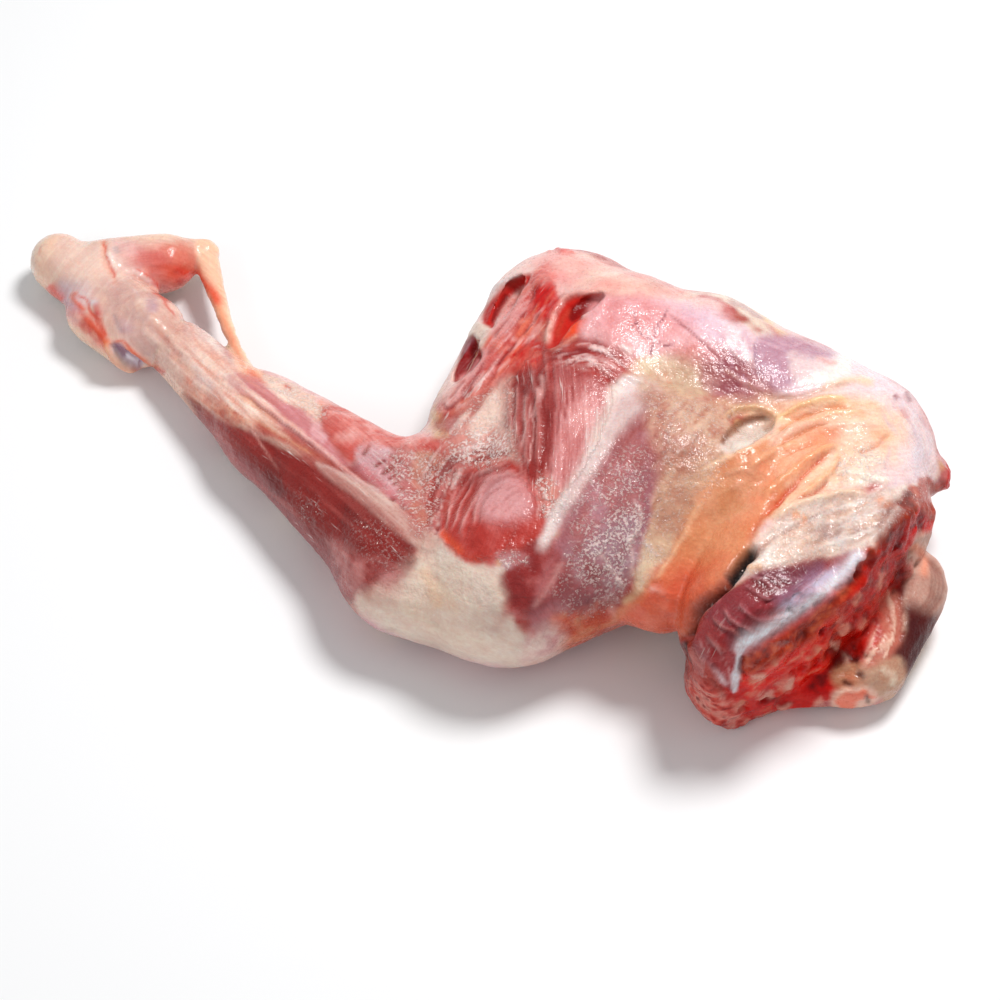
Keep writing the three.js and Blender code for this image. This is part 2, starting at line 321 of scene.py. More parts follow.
def rounded(points, steps=6, closed=False):
    """A smooth curve through points, given as pairs or as text such as "12,30 14,36 20,41"."""
    if isinstance(points, str):
        points = [pair.split(",") for pair in points.split()]
    p = np.array(points, float)
    if len(p) < 3:
        return p
    ring = np.vstack([p[-1:], p, p[:2]]) if closed else np.vstack([2 * p[0] - p[1], p, 2 * p[-1] - p[-2]])
    t = np.linspace(0, 1, steps, endpoint=False)[:, None]
    out = []
    for a, b, c, d in zip(ring[:-3], ring[1:-2], ring[2:-1], ring[3:]):
        out.append(0.5 * (2 * b + (c - a) * t + (2 * a - 5 * b + 4 * c - d) * t**2
                          + (3 * b - a - 3 * c + d) * t**3))
    return np.vstack(out + ([] if closed else [p[-1:]]))


def to_line(where, line):
    """Distance from picture points to a line, and how far along it the nearest point lies."""
    best = np.full(len(where), np.inf)
    share = np.zeros(len(where))
    lengths = np.linalg.norm(np.diff(line, axis=0), axis=1)
    total, gone = lengths.sum(), 0.0
    for a, b, length in zip(line[:-1], line[1:], lengths):
        along = (b - a) / max(length, 1e-9)
        t = np.clip((where - a) @ along, 0, length)
        gap = np.linalg.norm(where - a - t[:, None] * along, axis=1)
        closer = gap < best
        best[closer] = gap[closer]
        share[closer] = (gone + t[closer]) / total
        gone += length
    return best, share


def within(where, outline):
    """Distance to a closed outline, positive inside it."""
    gap, _ = to_line(where, np.vstack([outline, outline[:1]]))
    x, y = where.T
    count = np.zeros(len(where), int)
    for (x0, y0), (x1, y1) in zip(outline, np.roll(outline, -1, axis=0)):
        crosses = (y0 > y) != (y1 > y)
        count += crosses & (x < x0 + (y - y0) * (x1 - x0) / (y1 - y0 + 1e-12))
    return np.where(count % 2 == 1, gap, -gap)


def close_to(line, margin):
    """The seen points in the box round a line, and where they show."""
    low, high = line.min(0) - margin, line.max(0) + margin
    chosen = np.flatnonzero(((marks > low) & (marks < high)).all(1) & (seen > 0.01))
    return chosen, marks[chosen]


def stamp(chosen, mask, colour=None, height=0.0, shine=None, frosty=None, veiled=None, fibrous=None,
          bared=None):
    """Lays a mark on the skin, as strong as the mask says."""
    mask = mask * seen[chosen]
    if colour is not None:
        pigment = linear(colour) if isinstance(colour, tuple) else colour
        tone[chosen] += (pigment - tone[chosen]) * mask[:, None]
    lift[chosen] += height * MM * mask
    for target, value in ((gloss, shine), (frost, frosty), (veil, veiled), (fibre, fibrous),
                          (bare, bared)):
        if value is not None:
            target[chosen] += (value - target[chosen]) * mask


def area(outline, colour=None, soft=3, ragged=2, strength=1.0, **rest):
    """Fills an outline. Its edge is as soft as given, in pixels, and wanders by noise."""
    line = rounded(outline, closed=True)
    chosen, where = close_to(line, soft + 2 * ragged + 2)
    inside = within(where + ragged * wander[chosen], line)
    stamp(chosen, strength * ramp(-soft, soft, inside), colour, **rest)


def streak(points, colour=None, width=3, strength=1.0, ragged=1.0, taper=0.15, **rest):
    """Draws a line with a round section that fades out at its ends."""
    line = rounded(points)
    chosen, where = close_to(line, 2.2 * width + ragged)
    gap, share = to_line(where + ragged * wander[chosen], line)
    ends = ramp(0, taper, share) * ramp(0, taper, 1 - share) if taper else 1.0
    stamp(chosen, strength * np.exp(-((gap / width) ** 2)) * ends, colour, **rest)


def patchwork(outline, colours, size, soft=7, ragged=5, strength=1.0, seed=0, **rest):
    """Fills an outline with a mottle that wanders through several colours. The size is in mm."""
    line = rounded(outline, closed=True)
    chosen, where = close_to(line, soft + 2 * ragged + 2)
    inside = within(where + ragged * wander[chosen], line)
    level = np.clip(0.5 + 0.75 * rough_noise(spots[chosen], size * MM, 3, seed), 0,
                    0.999) * (len(colours) - 1)
    pigments = np.array([linear(colour) for colour in colours])
    step = level.astype(int)
    pigment = pigments[step] + (pigments[step + 1] - pigments[step]) * (level - step)[:, None]
    stamp(chosen, strength * ramp(-soft, soft, inside), pigment, **rest)


def glaze(outline, tint, soft=14, **rest):
    """Deepens what lies below with a thin layer of colour. The tint multiplies."""
    line = rounded(outline, closed=True)
    chosen, where = close_to(line, soft + 8)
    mask = ramp(-soft, soft, within(where + 3 * wander[chosen], line))
    stamp(chosen, mask, tone[chosen] * np.array(tint), **rest)


def along_guide(where, points):
    """Places of picture points across and along a guide line, in pixels."""
    guide = rounded(points)
    gap, share = to_line(where, guide)
    side = np.diff(guide, axis=0)
    nearest = np.clip((share * len(side)).astype(int), 0, len(side) - 1)
    offset = where - guide[nearest]
    sign = np.sign(offset[:, 0] * side[nearest, 1] - offset[:, 1] * side[nearest, 0])
    return gap * sign, share * np.linalg.norm(side, axis=1).sum()


def strands(outline, points, colour, spacing=5, length=60, share=0.5, soft=6, strength=1.0, seed=0,
            **rest):
    """Fills an outline with strands that run alongside a guide line."""
    line = rounded(outline, closed=True)
    chosen, where = close_to(line, soft)
    inside = ramp(-soft, soft, within(where + 2 * wander[chosen], line))
    across, along = along_guide(where, points)
    bands = np.column_stack([across / spacing, along / length])
    level = noise(bands, 1.0, seed) + 0.5 * noise(bands * 2.3, 1.0, seed + 5)
    stamp(chosen, strength * inside * ramp(0.35 - share, 1.05 - share, level), colour, **rest)


def run_fibres(outline, points, stretch=9, strong=1.0, veiled=None):
    """Turns the fine fibres of the shader along a guide line."""
    line = rounded(outline, closed=True)
    chosen, where = close_to(line, 1)
    inside = within(where + 3 * wander[chosen], line) > 0
    chosen, where = chosen[inside], where[inside]
    across, along = along_guide(where, points)
    flow[chosen] = np.column_stack([across, along / stretch, where @ [0.07, 0.05]]) * PIXEL
    stamp(chosen, np.ones(len(chosen)), fibrous=strong, veiled=veiled)


print("marking tools ready for", int((seen > 0.5).sum()), "seen points")

# %% [markdown]
# ## The colours of raw mutton
#
# Bare muscle is brick red. Where a membrane lies over it the red turns pink, mauve or lilac, and
# where the membrane thickens to fascia it hides the red and looks cream or bluish white. Fat is
# peach, tan or orange. Clots are bright scarlet, and sawn meat that is kept from the air is the
# deepest red of all.

# %% Name the colours
CREAM = (231, 212, 196)
PEACH = (243, 208, 186)
PALE_PINK = (234, 198, 194)
ROSE = (205, 128, 124)
MAUVE = (176, 116, 124)
LILAC = (206, 182, 200)
BRICK = (176, 74, 64)
DEEP_RED = (140, 42, 38)
CLOT = (204, 38, 34)
ORANGE_RED = (228, 92, 56)
ORANGE = (236, 140, 94)
YELLOW_FAT = (232, 200, 156)
WHITE = (246, 238, 233)
BLUE_WHITE = (214, 219, 232)
GREY = (196, 184, 186)
# Painted shade, for the depth of the cleft.
CLEFT_SHADOW = (20, 9, 8)
print("colours named")

# %% [markdown]
# ## The side that the picture doesn't show
#
# The far side and the underside get what such a leg has there: a mottled membrane over red muscle,
# islands of cream fat, and a pale hock. These rules work on places in space, so they also lie under
# the marks of the near side, and there is no border between the two.

# %% Colour the whole skin by rule
HOCK_END = np.array([-0.205, 0.115])
DOWN_SHANK = np.array([0.69, -0.72])


def mix(colour, mask):
    tone[:] += (linear(colour) - tone) * np.clip(mask, 0, 1)[:, None]


tone[:] = linear(ROSE)
mottle = rough_noise(spots, 40 * MM, 4, 3)
grain = rough_noise(spots, 12 * MM, 3, 8)
mix(BRICK, ramp(0.05, 0.3, mottle + 0.3 * grain))
mix(PALE_PINK, ramp(0.0, 0.45, -mottle - 0.25 * grain))
mix(CREAM, ramp(0.12, 0.4, rough_noise(spots, 55 * MM, 4, 12)))
mix(YELLOW_FAT, 0.7 * ramp(0.25, 0.45, rough_noise(spots, 34 * MM, 3, 15)))
mix(MAUVE, 0.6 * ramp(0.2, 0.5, rough_noise(spots, 30 * MM, 3, 21)))
down_shank = (spots[:, :2] - HOCK_END) @ DOWN_SHANK + 8 * MM * grain
hock = ramp(0.03, -0.005, down_shank)
mix(CREAM, hock)
mix(PEACH, hock * ramp(-0.1, 0.3, mottle))
mix(GREY, 0.7 * hock * ramp(0.1, 0.5, rough_noise(spots, 16 * MM, 3, 30)))
mix(ORANGE_RED, 0.7 * hock * ramp(0.45, 0.7, rough_noise(spots, 13 * MM, 3, 33)))
print("whole skin coloured, hock share", hock.mean().round(3))

# %% [markdown]
# ## The sawn end
#
# The saw leaves the deepest red of the whole leg, but not a smooth face: the muscles pull back from
# one another and leave pockets and torn ribs. The face is the side of a wide dome, so its points are
# found by their distance from the dome's centre, and crags are laid on them with noise.

# %% Find the sawn face
SAW_CENTRE = np.array([209.86, -107.02, 50]) * MM
SAW_TURN, SAW_LEAN = math.radians(48 - 180), math.radians(3)
SAW_REACH, SAW_BULGE = 95 * MM, 28 * MM
DOME = (SAW_REACH**2 + SAW_BULGE**2) / (2 * SAW_BULGE)

saw_out = np.array([-math.sin(SAW_TURN), math.cos(SAW_TURN), math.tan(SAW_LEAN)]) * math.cos(SAW_LEAN)
from_dome = spots - (SAW_CENTRE - DOME * saw_out)
from_dome_length = np.linalg.norm(from_dome, axis=1)
square_on = np.einsum("ij,ij->i", ahead, from_dome) / from_dome_length
sawn = ramp(3.5 * MM, 1.5 * MM, abs(from_dome_length - DOME)) * ramp(0.45, 0.8, square_on)
sawn = spread(sawn * (from_dome @ saw_out > 0), 2)
print("share of the skin in the sawn face:", sawn.mean().round(3))

# %% Tear the sawn face
crags = rough_noise(spots, 15 * MM, 4, 41)
pockets = sawn * ramp(0.3, 0.6, rough_noise(spots, 11 * MM, 3, 47))
mix((205, 20, 14), sawn)
# The colour follows the crags laid below: the brighter orange-red on their raised parts is painted light,
# and the darker red where they sink and the near-black red in the pockets are painted shade.
mix((226, 70, 44), sawn * ramp(0.1, 0.5, crags))
mix((140, 8, 8), sawn * ramp(0.05, 0.45, -crags))
mix((210, 120, 96), 0.7 * sawn * ramp(0.32, 0.55, rough_noise(spots, 8 * MM, 3, 44)))
mix((96, 6, 8), pockets)
lift += sawn * crags * 2.2 * MM - pockets * 2.4 * MM
fibre += sawn * (0.5 - fibre)
bare += sawn
gloss += sawn * (0.2 - gloss)
print("crags laid, pockets cover", pockets.mean().round(4))

# %% [markdown]
# ## The hock
#
# The joint is wrapped in pale gristle and tendon sheaths. Sheaths run diagonally down to the shank,
# the heel bone is flushed with blood above the gap, and small clots sit at the lower edge, where the
# hide was pulled off.

# %% Mark the hock
area("60,225 215,232 228,300 180,300 240,390 200,415 150,380 110,370 40,300", PEACH, soft=8, shine=0.28)
patchwork("60,236 110,236 200,242 215,262 200,300 222,350 244,384 200,400 150,370 110,350 60,300",
    [(238, 190, 170), (240, 212, 198), (228, 190, 180), (246, 226, 214)], 13, soft=8, ragged=6,
    strength=0.7, seed=85, shine=0.22)
patchwork("138,248 172,246 206,262 216,290 196,276 180,282 180,298 150,284 140,264",
    [(238, 130, 112), (232, 90, 64), (244, 176, 156)], 7, soft=7, ragged=4, strength=0.75, seed=86)
patchwork("50,284 66,292 90,318 104,338 112,352 100,348 78,326 52,300",
    [(236, 120, 90), (222, 66, 50), (244, 180, 156)], 5, soft=5, ragged=4, strength=0.75, height=0.5,
    seed=87)
area("50,250 105,235 112,300 150,350 165,375 120,345 90,312 52,290", (234, 204, 190), soft=10, ragged=6,
    strength=0.6)
area("62,280 88,283 92,300 70,312 58,300", LILAC, soft=7, ragged=4, strength=0.6)
area("120,285 150,300 165,340 140,350 115,320", GREY, soft=12, ragged=6, strength=0.3)
area("112,240 140,246 150,262 128,272 110,262", PALE_PINK, soft=5, ragged=3, strength=0.8)
area("140,246 168,250 172,264 150,268 138,260", ROSE, soft=7, ragged=4, strength=0.75)
area("165,244 200,246 204,268 180,272", (214, 140, 120), soft=8, ragged=4, strength=0.7)
area("148,272 168,264 186,268 180,284 180,298 165,292 152,284", ORANGE_RED, soft=4, ragged=3,
    strength=0.9, height=-0.8)
streak("172,268 188,276 176,286", CLOT, 4, 0.8)
streak("182,276 198,276 210,288 217,300", ORANGE_RED, 5, 0.85)
streak("150,284 166,294 181,300", ORANGE_RED, 3, 0.7, height=-0.6)
streak("104,232 104,250 105,262 113,276 120,290", ORANGE, 3, 0.75, height=-0.9)
# A painted highlight beside the orange seam.
streak("109,250 110,262 118,270", WHITE, 3, 0.8, height=0.9)
streak("114,246 118,254", GREY, 3, 0.8, height=-1.0)
# The raised edge of the sheath, cream whitened further by a painted highlight.
streak("122,268 140,276 158,292 182,306 204,330 226,360", WHITE, 5, 0.55, height=1.5)
streak("116,276 130,292 150,312 178,350 210,384", PEACH, 6, 0.5, height=1.0)
streak("128,272 146,284 166,300", ORANGE, 1.6, 0.6, height=-0.7)
streak("130,284 140,300 152,322", WHITE, 2, 0.5, height=0.5)
streak("112,312 117,324 123,334", GREY, 2.5, 0.7, height=-0.7)
area("146,298 156,300 158,310 150,312", LILAC, soft=4, strength=0.9)
area("122,318 134,322 132,332 122,330", LILAC, soft=5, strength=0.7)
streak("96,304 98,314", CLOT, 4.5, 1.0, taper=0, height=0.8, shine=0.12)
streak("90,303 96,302", BLUE_WHITE, 3, 0.8, taper=0)
streak("80,292 73,296 78,304 86,312", ORANGE_RED, 2.6, 0.9, height=0.5)
streak("98,316 102,326 106,338", ORANGE_RED, 3, 0.7)
streak("84,312 92,324 100,334 108,346 114,352", ORANGE_RED, 4.5, 0.9, height=0.6)
streak("104,336 110,350 118,362 132,370 146,370", ORANGE, 3.5, 0.9, height=1.4)
streak("48,284 56,294 64,302", (226, 90, 70), 6, 0.85)
streak("42,286 52,300 66,312 84,324", PALE_PINK, 5, 0.6, height=0.8)
area("112,345 124,350 138,358 144,366 132,368 120,362 113,354", (226, 220, 230), soft=1.6, ragged=0.6,
    height=-2.2, shine=0.2)
# A grey painted shadow inside the lens, along its lower left rim.
streak("113,350 119,360 130,366", GREY, 2.0, 0.8)
streak("111,343 124,348 138,356 152,364 164,372", ORANGE, 2.4, 0.9, height=1.2)
streak("148,366 158,370 166,374", CLOT, 2.6, 0.8)
streak("186,374 192,384", CLOT, 3.5, 0.75)
streak("168,352 184,368 196,384", ORANGE, 5, 0.6, ragged=3)
streak("184,312 192,330 204,352", ORANGE, 1.4, 0.55, ragged=3, height=-0.4)
streak("160,330 190,362 220,396", WHITE, 3, 0.45, height=0.6)
streak("176,336 206,370 240,404", ORANGE, 2, 0.35, height=-0.5)
print("hock marked")

# %% [markdown]
# ## The heel tendon
#
# A smooth peach band, lit from above, with a painted highlight along it. It is flushed orange along
# its inner edge and at its foot, where it dives under the calf's membrane.

# %% Mark the heel tendon
area("196,240 222,246 228,300 262,372 290,390 262,392 240,372 222,330 205,290", (250, 206, 178), soft=4,
    ragged=0, shine=0.25)
streak("204,282 216,300 226,326 238,356 246,376", ORANGE, 4, 0.6, ragged=0.5)
streak("246,366 256,378 270,386", (238, 130, 80), 5, 0.85, ragged=1)
# A painted highlight along the tendon.
streak("226,300 240,340 254,372", (255, 226, 202), 2.4, 0.7, ragged=0, height=0.5)
print("tendon marked")

# %% [markdown]
# ## The shank
#
# Four things lie side by side down the shank: deep red muscle along the lower edge, an orange-brown
# muscle under a tight tendon, a mauve one under a dull membrane, and the bare calf with its crumpled
# membrane. A white tendon strip widens towards the knee.

# %% Mark the shank muscles
area("184,392 212,408 250,432 290,452 325,468 350,482 380,504 408,530 414,556 404,590 372,604 345,600 "
    "300,540 240,470 195,412", DEEP_RED, soft=4, ragged=2, shine=0.3)
area("250,436 300,462 350,492 390,524 398,560 372,582 330,540 280,480", (150, 44, 36), soft=14,
    ragged=5, strength=0.8)
streak("190,404 230,462 285,528 325,574 352,606", MAUVE, 14, 0.75, ragged=4)
# A pale pink painted highlight along the rim of the lower edge.
streak("186,406 226,466 282,532 320,580 348,612", PALE_PINK, 3.5, 0.6, ragged=1.5)
streak("352,560 368,588 360,604", ROSE, 9, 0.5, ragged=4)
streak("205,405 245,440 300,486", (186, 84, 78), 5, 0.5, ragged=2)
area("214,388 240,396 264,412 292,428 322,448 346,466 368,486 352,486 322,468 290,450 256,432 226,410",
    (184, 92, 78), soft=6, ragged=3, strength=0.9, height=0.6)
streak("236,392 258,406 284,424", (236, 170, 130), 3.5, 0.75, height=0.5)
streak("240,412 262,424 290,442 318,458", (214, 150, 120), 1.6, 0.6, height=-0.6)
area("232,374 262,380 286,398 312,420 332,440 350,462 342,466 312,446 282,424 256,404 234,390",
    (208, 136, 140), soft=6, ragged=3, strength=0.9, height=0.6, shine=0.36)
strands("290,410 330,430 348,456 330,452 300,430", "300,408 340,436", (232, 188, 190), spacing=40,
    length=7, share=0.45, strength=0.7, height=0.5, seed=4)
streak("234,386 262,406 292,428 322,450 350,474 376,492", (238, 196, 190), 2.0, 0.85, height=0.8)
streak("238,392 266,412 296,434 326,458", (122, 44, 40), 1.6, 0.6, height=-0.8)
area("262,376 290,384 318,400 330,408 322,420 300,410 276,394", (240, 206, 190), soft=3, ragged=4,
    height=0.5, frosty=0.7)
streak("318,402 332,408", ORANGE, 4, 0.6, ragged=2)
streak("284,386 292,390", CLOT, 2, 0.6)
area("322,408 346,406 384,424 412,438 440,440 446,452 410,450 380,444 362,448 352,462 338,450 326,432",
    (204, 96, 86), soft=4, ragged=2, height=0.4)
streak("322,414 332,436 348,460", BRICK, 5, 0.8, height=-0.8)
streak("340,412 372,424 404,438", (232, 160, 148), 5, 0.5, ragged=3)
area("356,448 376,440 394,452 406,470 412,500 402,508 378,486 358,464", (226, 186, 190), soft=4,
    ragged=2, frosty=0.3)
for left, right, wide, deep in (
    ((373, 467), (386, 459), 1.8, 0.9),
    ((380, 474), (395, 464), 2.8, 1.6),
    ((387, 480), (400, 471), 1.7, 0.9),
    ((391, 486), (402, 478), 1.5, 0.7),
    ((362, 456), (370, 444), 1.8, 0.7),
    ((396, 492), (405, 486), 1.4, 0.6),
):
    streak([left, right], (158, 52, 42), wide, 0.95, 0.3, height=-deep)
streak("358,462 376,480 398,500 412,512", (214, 130, 134), 4, 0.7)
for pit in ((392, 456), (396, 460), (407, 467), (391, 499), (402, 507)):
    streak([pit, (pit[0] + 2, pit[1] + 1)], (150, 40, 40), 2.6, 0.9, 0.6, taper=0, height=-1.2)
area("316,464 336,472 360,484 388,498 408,514 420,528 446,540 430,552 402,538 376,516 350,494 328,478",
    (232, 214, 204), soft=2.5, ragged=1, height=0.9)
streak("318,464 350,478 386,494", WHITE, 2, 0.5, height=0.3)
streak("250,425 262,446 280,472", (226, 170, 160), 1.3, 0.7, ragged=0.6)
area("296,492 316,496 322,516 304,522", None, soft=8, ragged=4, frosty=0.3)
area("350,515 386,520 408,548 398,576 366,560", None, soft=10, ragged=6, frosty=0.22)
print("shank marked")

# %% [markdown]
# ## The knee and the red thigh muscles
#
# A sheet of cream fascia wraps the knee. Above it the bare thigh muscle shows through in tight
# strands with white threads between them, round a pink mound, with crumbs of dried membrane on top.

# %% Mark the knee fascia
area("352,600 386,592 412,572 418,545 408,522 432,534 446,548 468,562 490,566 512,560 532,572 512,600 "
    "520,634 552,650 530,672 480,668 425,650 378,628", (229, 212, 200), soft=5, ragged=3, height=0.3,
    shine=0.34)
area("410,560 450,562 500,580 500,620 450,620 405,600", CREAM, soft=16, ragged=8, strength=0.7)
streak("425,560 440,590 455,612", PEACH, 9, 0.55, ragged=5)
streak("400,600 440,628 490,644", YELLOW_FAT, 9, 0.3, ragged=5)
streak("352,612 400,644 460,664 520,672", (238, 204, 212), 7, 0.8, ragged=2)
streak("470,570 486,600 500,640", GREY, 8, 0.35, ragged=5)
streak("396,560 404,584 392,600", (226, 190, 180), 4, 0.6, height=-0.4)
for start, end in (((420, 548), (470, 640)), ((446, 562), (500, 650)), ((400, 596), (460, 640)),
                   ((436, 548), (440, 600))):
    streak([start, end], (214, 190, 176), 1.4, 0.4, ragged=4, height=-0.4)
print("knee marked")

# %% Mark the red muscles above the knee
area("440,520 452,500 470,470 500,452 530,470 548,500 545,530 526,548 500,552 486,562 462,552 446,542",
    (196, 72, 60), soft=5, ragged=3, shine=0.25)
area("440,524 452,540 470,556 488,558 502,546 528,530 520,520 490,524 462,520", (190, 52, 42), soft=5,
    ragged=3, shine=0.2)
streak("438,528 448,538 462,552 484,562", ORANGE_RED, 4.5, 0.75)
area("478,496 486,480 504,474 522,484 530,505 522,522 500,526 482,516", (228, 184, 186), soft=10,
    ragged=3, height=1.7, shine=0.3)
fan = [((512, 462), (480, 474), (462, 504), (452, 534)), ((520, 468), (490, 482), (470, 510), (458, 540)),
       ((500, 466), (470, 480), (452, 506), (444, 528)), ((526, 472), (500, 478), (482, 496), (472, 530)),
       ((526, 474), (538, 496), (536, 522)), ((532, 476), (546, 498), (544, 520))]
for band in fan:
    streak(band, (238, 190, 186), 1.5, 0.9, 2.5, height=0.7)
    streak([(x + 4, y + 1) for x, y in band], DEEP_RED, 2.0, 0.6, 2.5, height=-0.6)
area("504,556 520,545 548,540 560,560 548,590 530,606 512,612 502,596", (156, 52, 50), soft=6, ragged=5,
    shine=0.25)
area("495,552 520,552 530,562 505,568", (232, 206, 210), soft=4, ragged=4, strength=0.7, frosty=0.8)
streak("497,558 500,566", YELLOW_FAT, 2.5, 0.7)
area("440,440 460,442 458,462 438,460", (198, 78, 68), soft=5, ragged=4, strength=0.9)
area("390,455 420,448 450,462 462,480 440,500 425,540 408,520 396,490", (206, 134, 128), soft=8,
    ragged=6, strength=0.75, frosty=0.85)
strands("425,470 465,470 455,525 430,535", "448,468 438,500 434,532", BRICK, spacing=4, length=40,
    share=0.45, strength=0.85, height=-0.6, seed=2)
print("red muscles marked")

# %% Mark the strands between the pockets and the knee
area("508,372 545,360 560,400 556,440 552,480 540,490 520,468 512,430", (176, 60, 54), soft=5, ragged=3,
    shine=0.25)
strands("506,372 556,360 560,440 552,484 520,470", "530,360 534,420 536,490", (236, 184, 178),
    spacing=4, length=60, share=0.32, strength=0.85, height=0.7, seed=7)
for x, top, foot in ((518, 382, 440), (527, 390, 468), (538, 384, 466)):
    streak([(x, top), (x, (top + foot) / 2), (x - 2, foot)], (244, 214, 208), 1.8, 0.95, 0.8,
        height=1.0)
    streak([(x + 5, top), (x + 5, foot)], DEEP_RED, 2.2, 0.8, 0.8, height=-1.0)
streak("546,400 547,450 552,482", DEEP_RED, 3, 0.85, height=-1.3)
area("556,372 590,376 612,392 600,420 585,450 565,490 552,480 556,430", (226, 180, 180), soft=5,
    ragged=3, shine=0.3, height=0.5)
strands("556,374 606,380 598,430 560,488", "580,372 570,430 556,490", (206, 130, 130), spacing=9,
    length=80, share=0.35, strength=0.5, height=-0.2, seed=9)
area("470,400 492,388 512,392 512,430 522,460 500,452 470,452 456,430", (234, 202, 190), soft=7,
    ragged=6, strength=0.85, height=0.5, frosty=0.6)
area("446,436 466,424 486,428 506,440 508,458 494,466 470,470 448,460", (214, 146, 136), soft=8,
    ragged=7, strength=0.85, frosty=1.0)
area("538,476 552,482 566,490 568,506 556,522 542,516", (216, 140, 130), soft=5, ragged=6, strength=0.8,
    frosty=1.0)
strands("430,420 452,380 480,372 510,372 500,400 470,420 450,436", "500,360 470,400 440,436", BRICK,
    spacing=6, length=50, share=0.5, strength=0.75, height=-0.5, seed=12)
print("strands marked")

# %% [markdown]
# ## The torn upper edge of the thigh
#
# The membrane is torn into two pockets at the silhouette and a slit beside them. Dark meat shows in
# each, and the rims are cream and stand up. Clots lie between them, along a band that runs diagonally
# down to the strands.

# %% Mark the torn pockets
area("458,330 480,296 512,266 552,250 602,262 650,290 700,300 690,312 640,296 600,292 566,294 548,310 "
    "520,350 500,372 450,400 440,400", (240, 208, 200), soft=5, ragged=3, shine=0.3)
area("600,268 650,292 610,294 580,284", (240, 214, 190), soft=8, ragged=4, strength=0.8)
streak("524,262 560,256 590,266", (238, 176, 170), 6, 0.6, ragged=4)
patchwork("556,276 548,300 544,330 524,356 500,376 460,408 440,410 458,386 484,350 506,308 528,284 "
    "542,262", [(236, 190, 184), (222, 120, 108), (206, 84, 76), (232, 150, 126), (238, 196, 188)], 9,
    soft=7, ragged=6, strength=0.9, seed=60, fibrous=0.8)
strands("540,286 550,300 520,350 462,400 440,404 484,346 516,300", "546,280 500,340 450,400",
    (238, 206, 202), spacing=5, length=45, share=0.45, strength=0.8, height=0.5, seed=14)
patchwork("534,300 541,274 552,276 556,300 548,318 532,318", [(236, 150, 140), CLOT, (214, 30, 34)], 5,
    soft=5, ragged=5, height=0.8, shine=0.14, seed=61)
patchwork("490,372 506,352 530,340 542,346 534,364 508,376", [ROSE, (214, 60, 50), CLOT, PALE_PINK], 6,
    soft=5, ragged=6, shine=0.15, seed=62)
area("484,342 494,336 492,346 486,348", ORANGE_RED, soft=2.5, ragged=1.5, shine=0.15)
streak("540,312 528,328 514,340", (224, 122, 92), 5, 0.7, ragged=3)
streak("476,376 488,368 500,362", CLOT, 2.5, 0.7, ragged=2)
area("481,314 490,300 503,286 518,276 530,274 526,284 515,294 507,304 497,319 490,329 483,326",
    (196, 50, 44), soft=2.2, ragged=1, height=-1.5, shine=0.45, bared=1.0)
streak("492,302 506,289 520,280", (196, 96, 88), 3.0, 0.6, 1.5)
streak("490,322 499,308 512,292", (110, 22, 22), 2.6, 0.8, 1.0, height=-0.8)
area("478,322 488,326 492,332 486,346 476,350 468,338 470,326", (228, 210, 196), soft=2.5, ragged=1,
    height=0.8)
area("454,381 458,360 464,341 474,336 479,346 482,356 473,368 462,377", (150, 32, 36), soft=2.2,
    ragged=1, height=-1.2, shine=0.45, bared=1.0)
streak("462,352 468,342 475,340", (176, 112, 122), 3.2, 0.8, 1.0)
streak("466,372 476,360 481,354", (84, 12, 16), 2.6, 0.8, 1.0, height=-0.7)
streak("482,300 500,284 524,274", (220, 206, 204), 2.6, 0.9, height=1.0)
streak("494,326 508,304 522,288", (232, 204, 196), 2.2, 0.85, height=0.9)
streak("480,356 470,368 458,380", (222, 160, 160), 2.2, 0.8, height=0.8)
streak("549,250 553,247 560,251 572,253", (214, 40, 36), 2.6, 1.0, height=1.5, taper=0, shine=0.12)
area("547,346 550,330 557,312 567,301 582,296 603,296 597,306 586,312 577,320 568,331 560,342 552,348",
    (206, 48, 38), soft=2.2, ragged=1.5, height=-1.8, shine=0.4, bared=1.0)
area("572,304 584,299 602,298 592,309 578,314 570,320 566,312", (140, 20, 20), soft=3, ragged=2,
    height=-0.8, bared=1.0)
streak("554,338 560,320 570,306", (206, 84, 66), 3.0, 0.7, 2.0)
streak("547,348 549,330 558,306 574,293 606,294", (240, 196, 184), 2.4, 0.9, height=1.2)
area("560,343 567,331 577,322 590,316 599,314 594,324 583,331 570,339", (236, 92, 50), soft=2.4,
    ragged=2.5, height=1.0, shine=0.15)
streak("580,318 592,311 600,304 607,296", (240, 214, 204), 3.0, 0.95, 1.2, height=1.3)
streak("599,314 602,308 606,302", (236, 180, 160), 3.0, 0.8, 1.0, height=0.8)
streak("548,350 562,346 580,334", (240, 180, 160), 1.8, 0.8, height=0.8)
print("pockets marked")

# %% [markdown]
# ## The upper thigh and the white band
#
# A thin pink membrane with a forked vein covers the upper thigh. Below it a broad white tendon sheet
# runs down beside the mauve muscle, which has dried to a frosty skin.

# %% Mark the upper thigh
area("600,296 660,300 700,330 740,374 700,372 668,352 648,372 620,360 596,350 580,336", (232, 186, 186),
    soft=6, ragged=3, shine=0.28)
strands("548,360 580,340 620,350 640,372 620,392 580,372 550,374", "545,362 590,354 640,380",
    (170, 56, 52), spacing=4, length=40, share=0.5, strength=0.85, height=-0.7, seed=17)
strands("556,352 590,344 622,356 636,372 600,366 560,366", "550,356 590,350 640,372", (240, 206, 204),
    spacing=3.5, length=26, share=0.35, strength=0.85, height=0.6, seed=19)
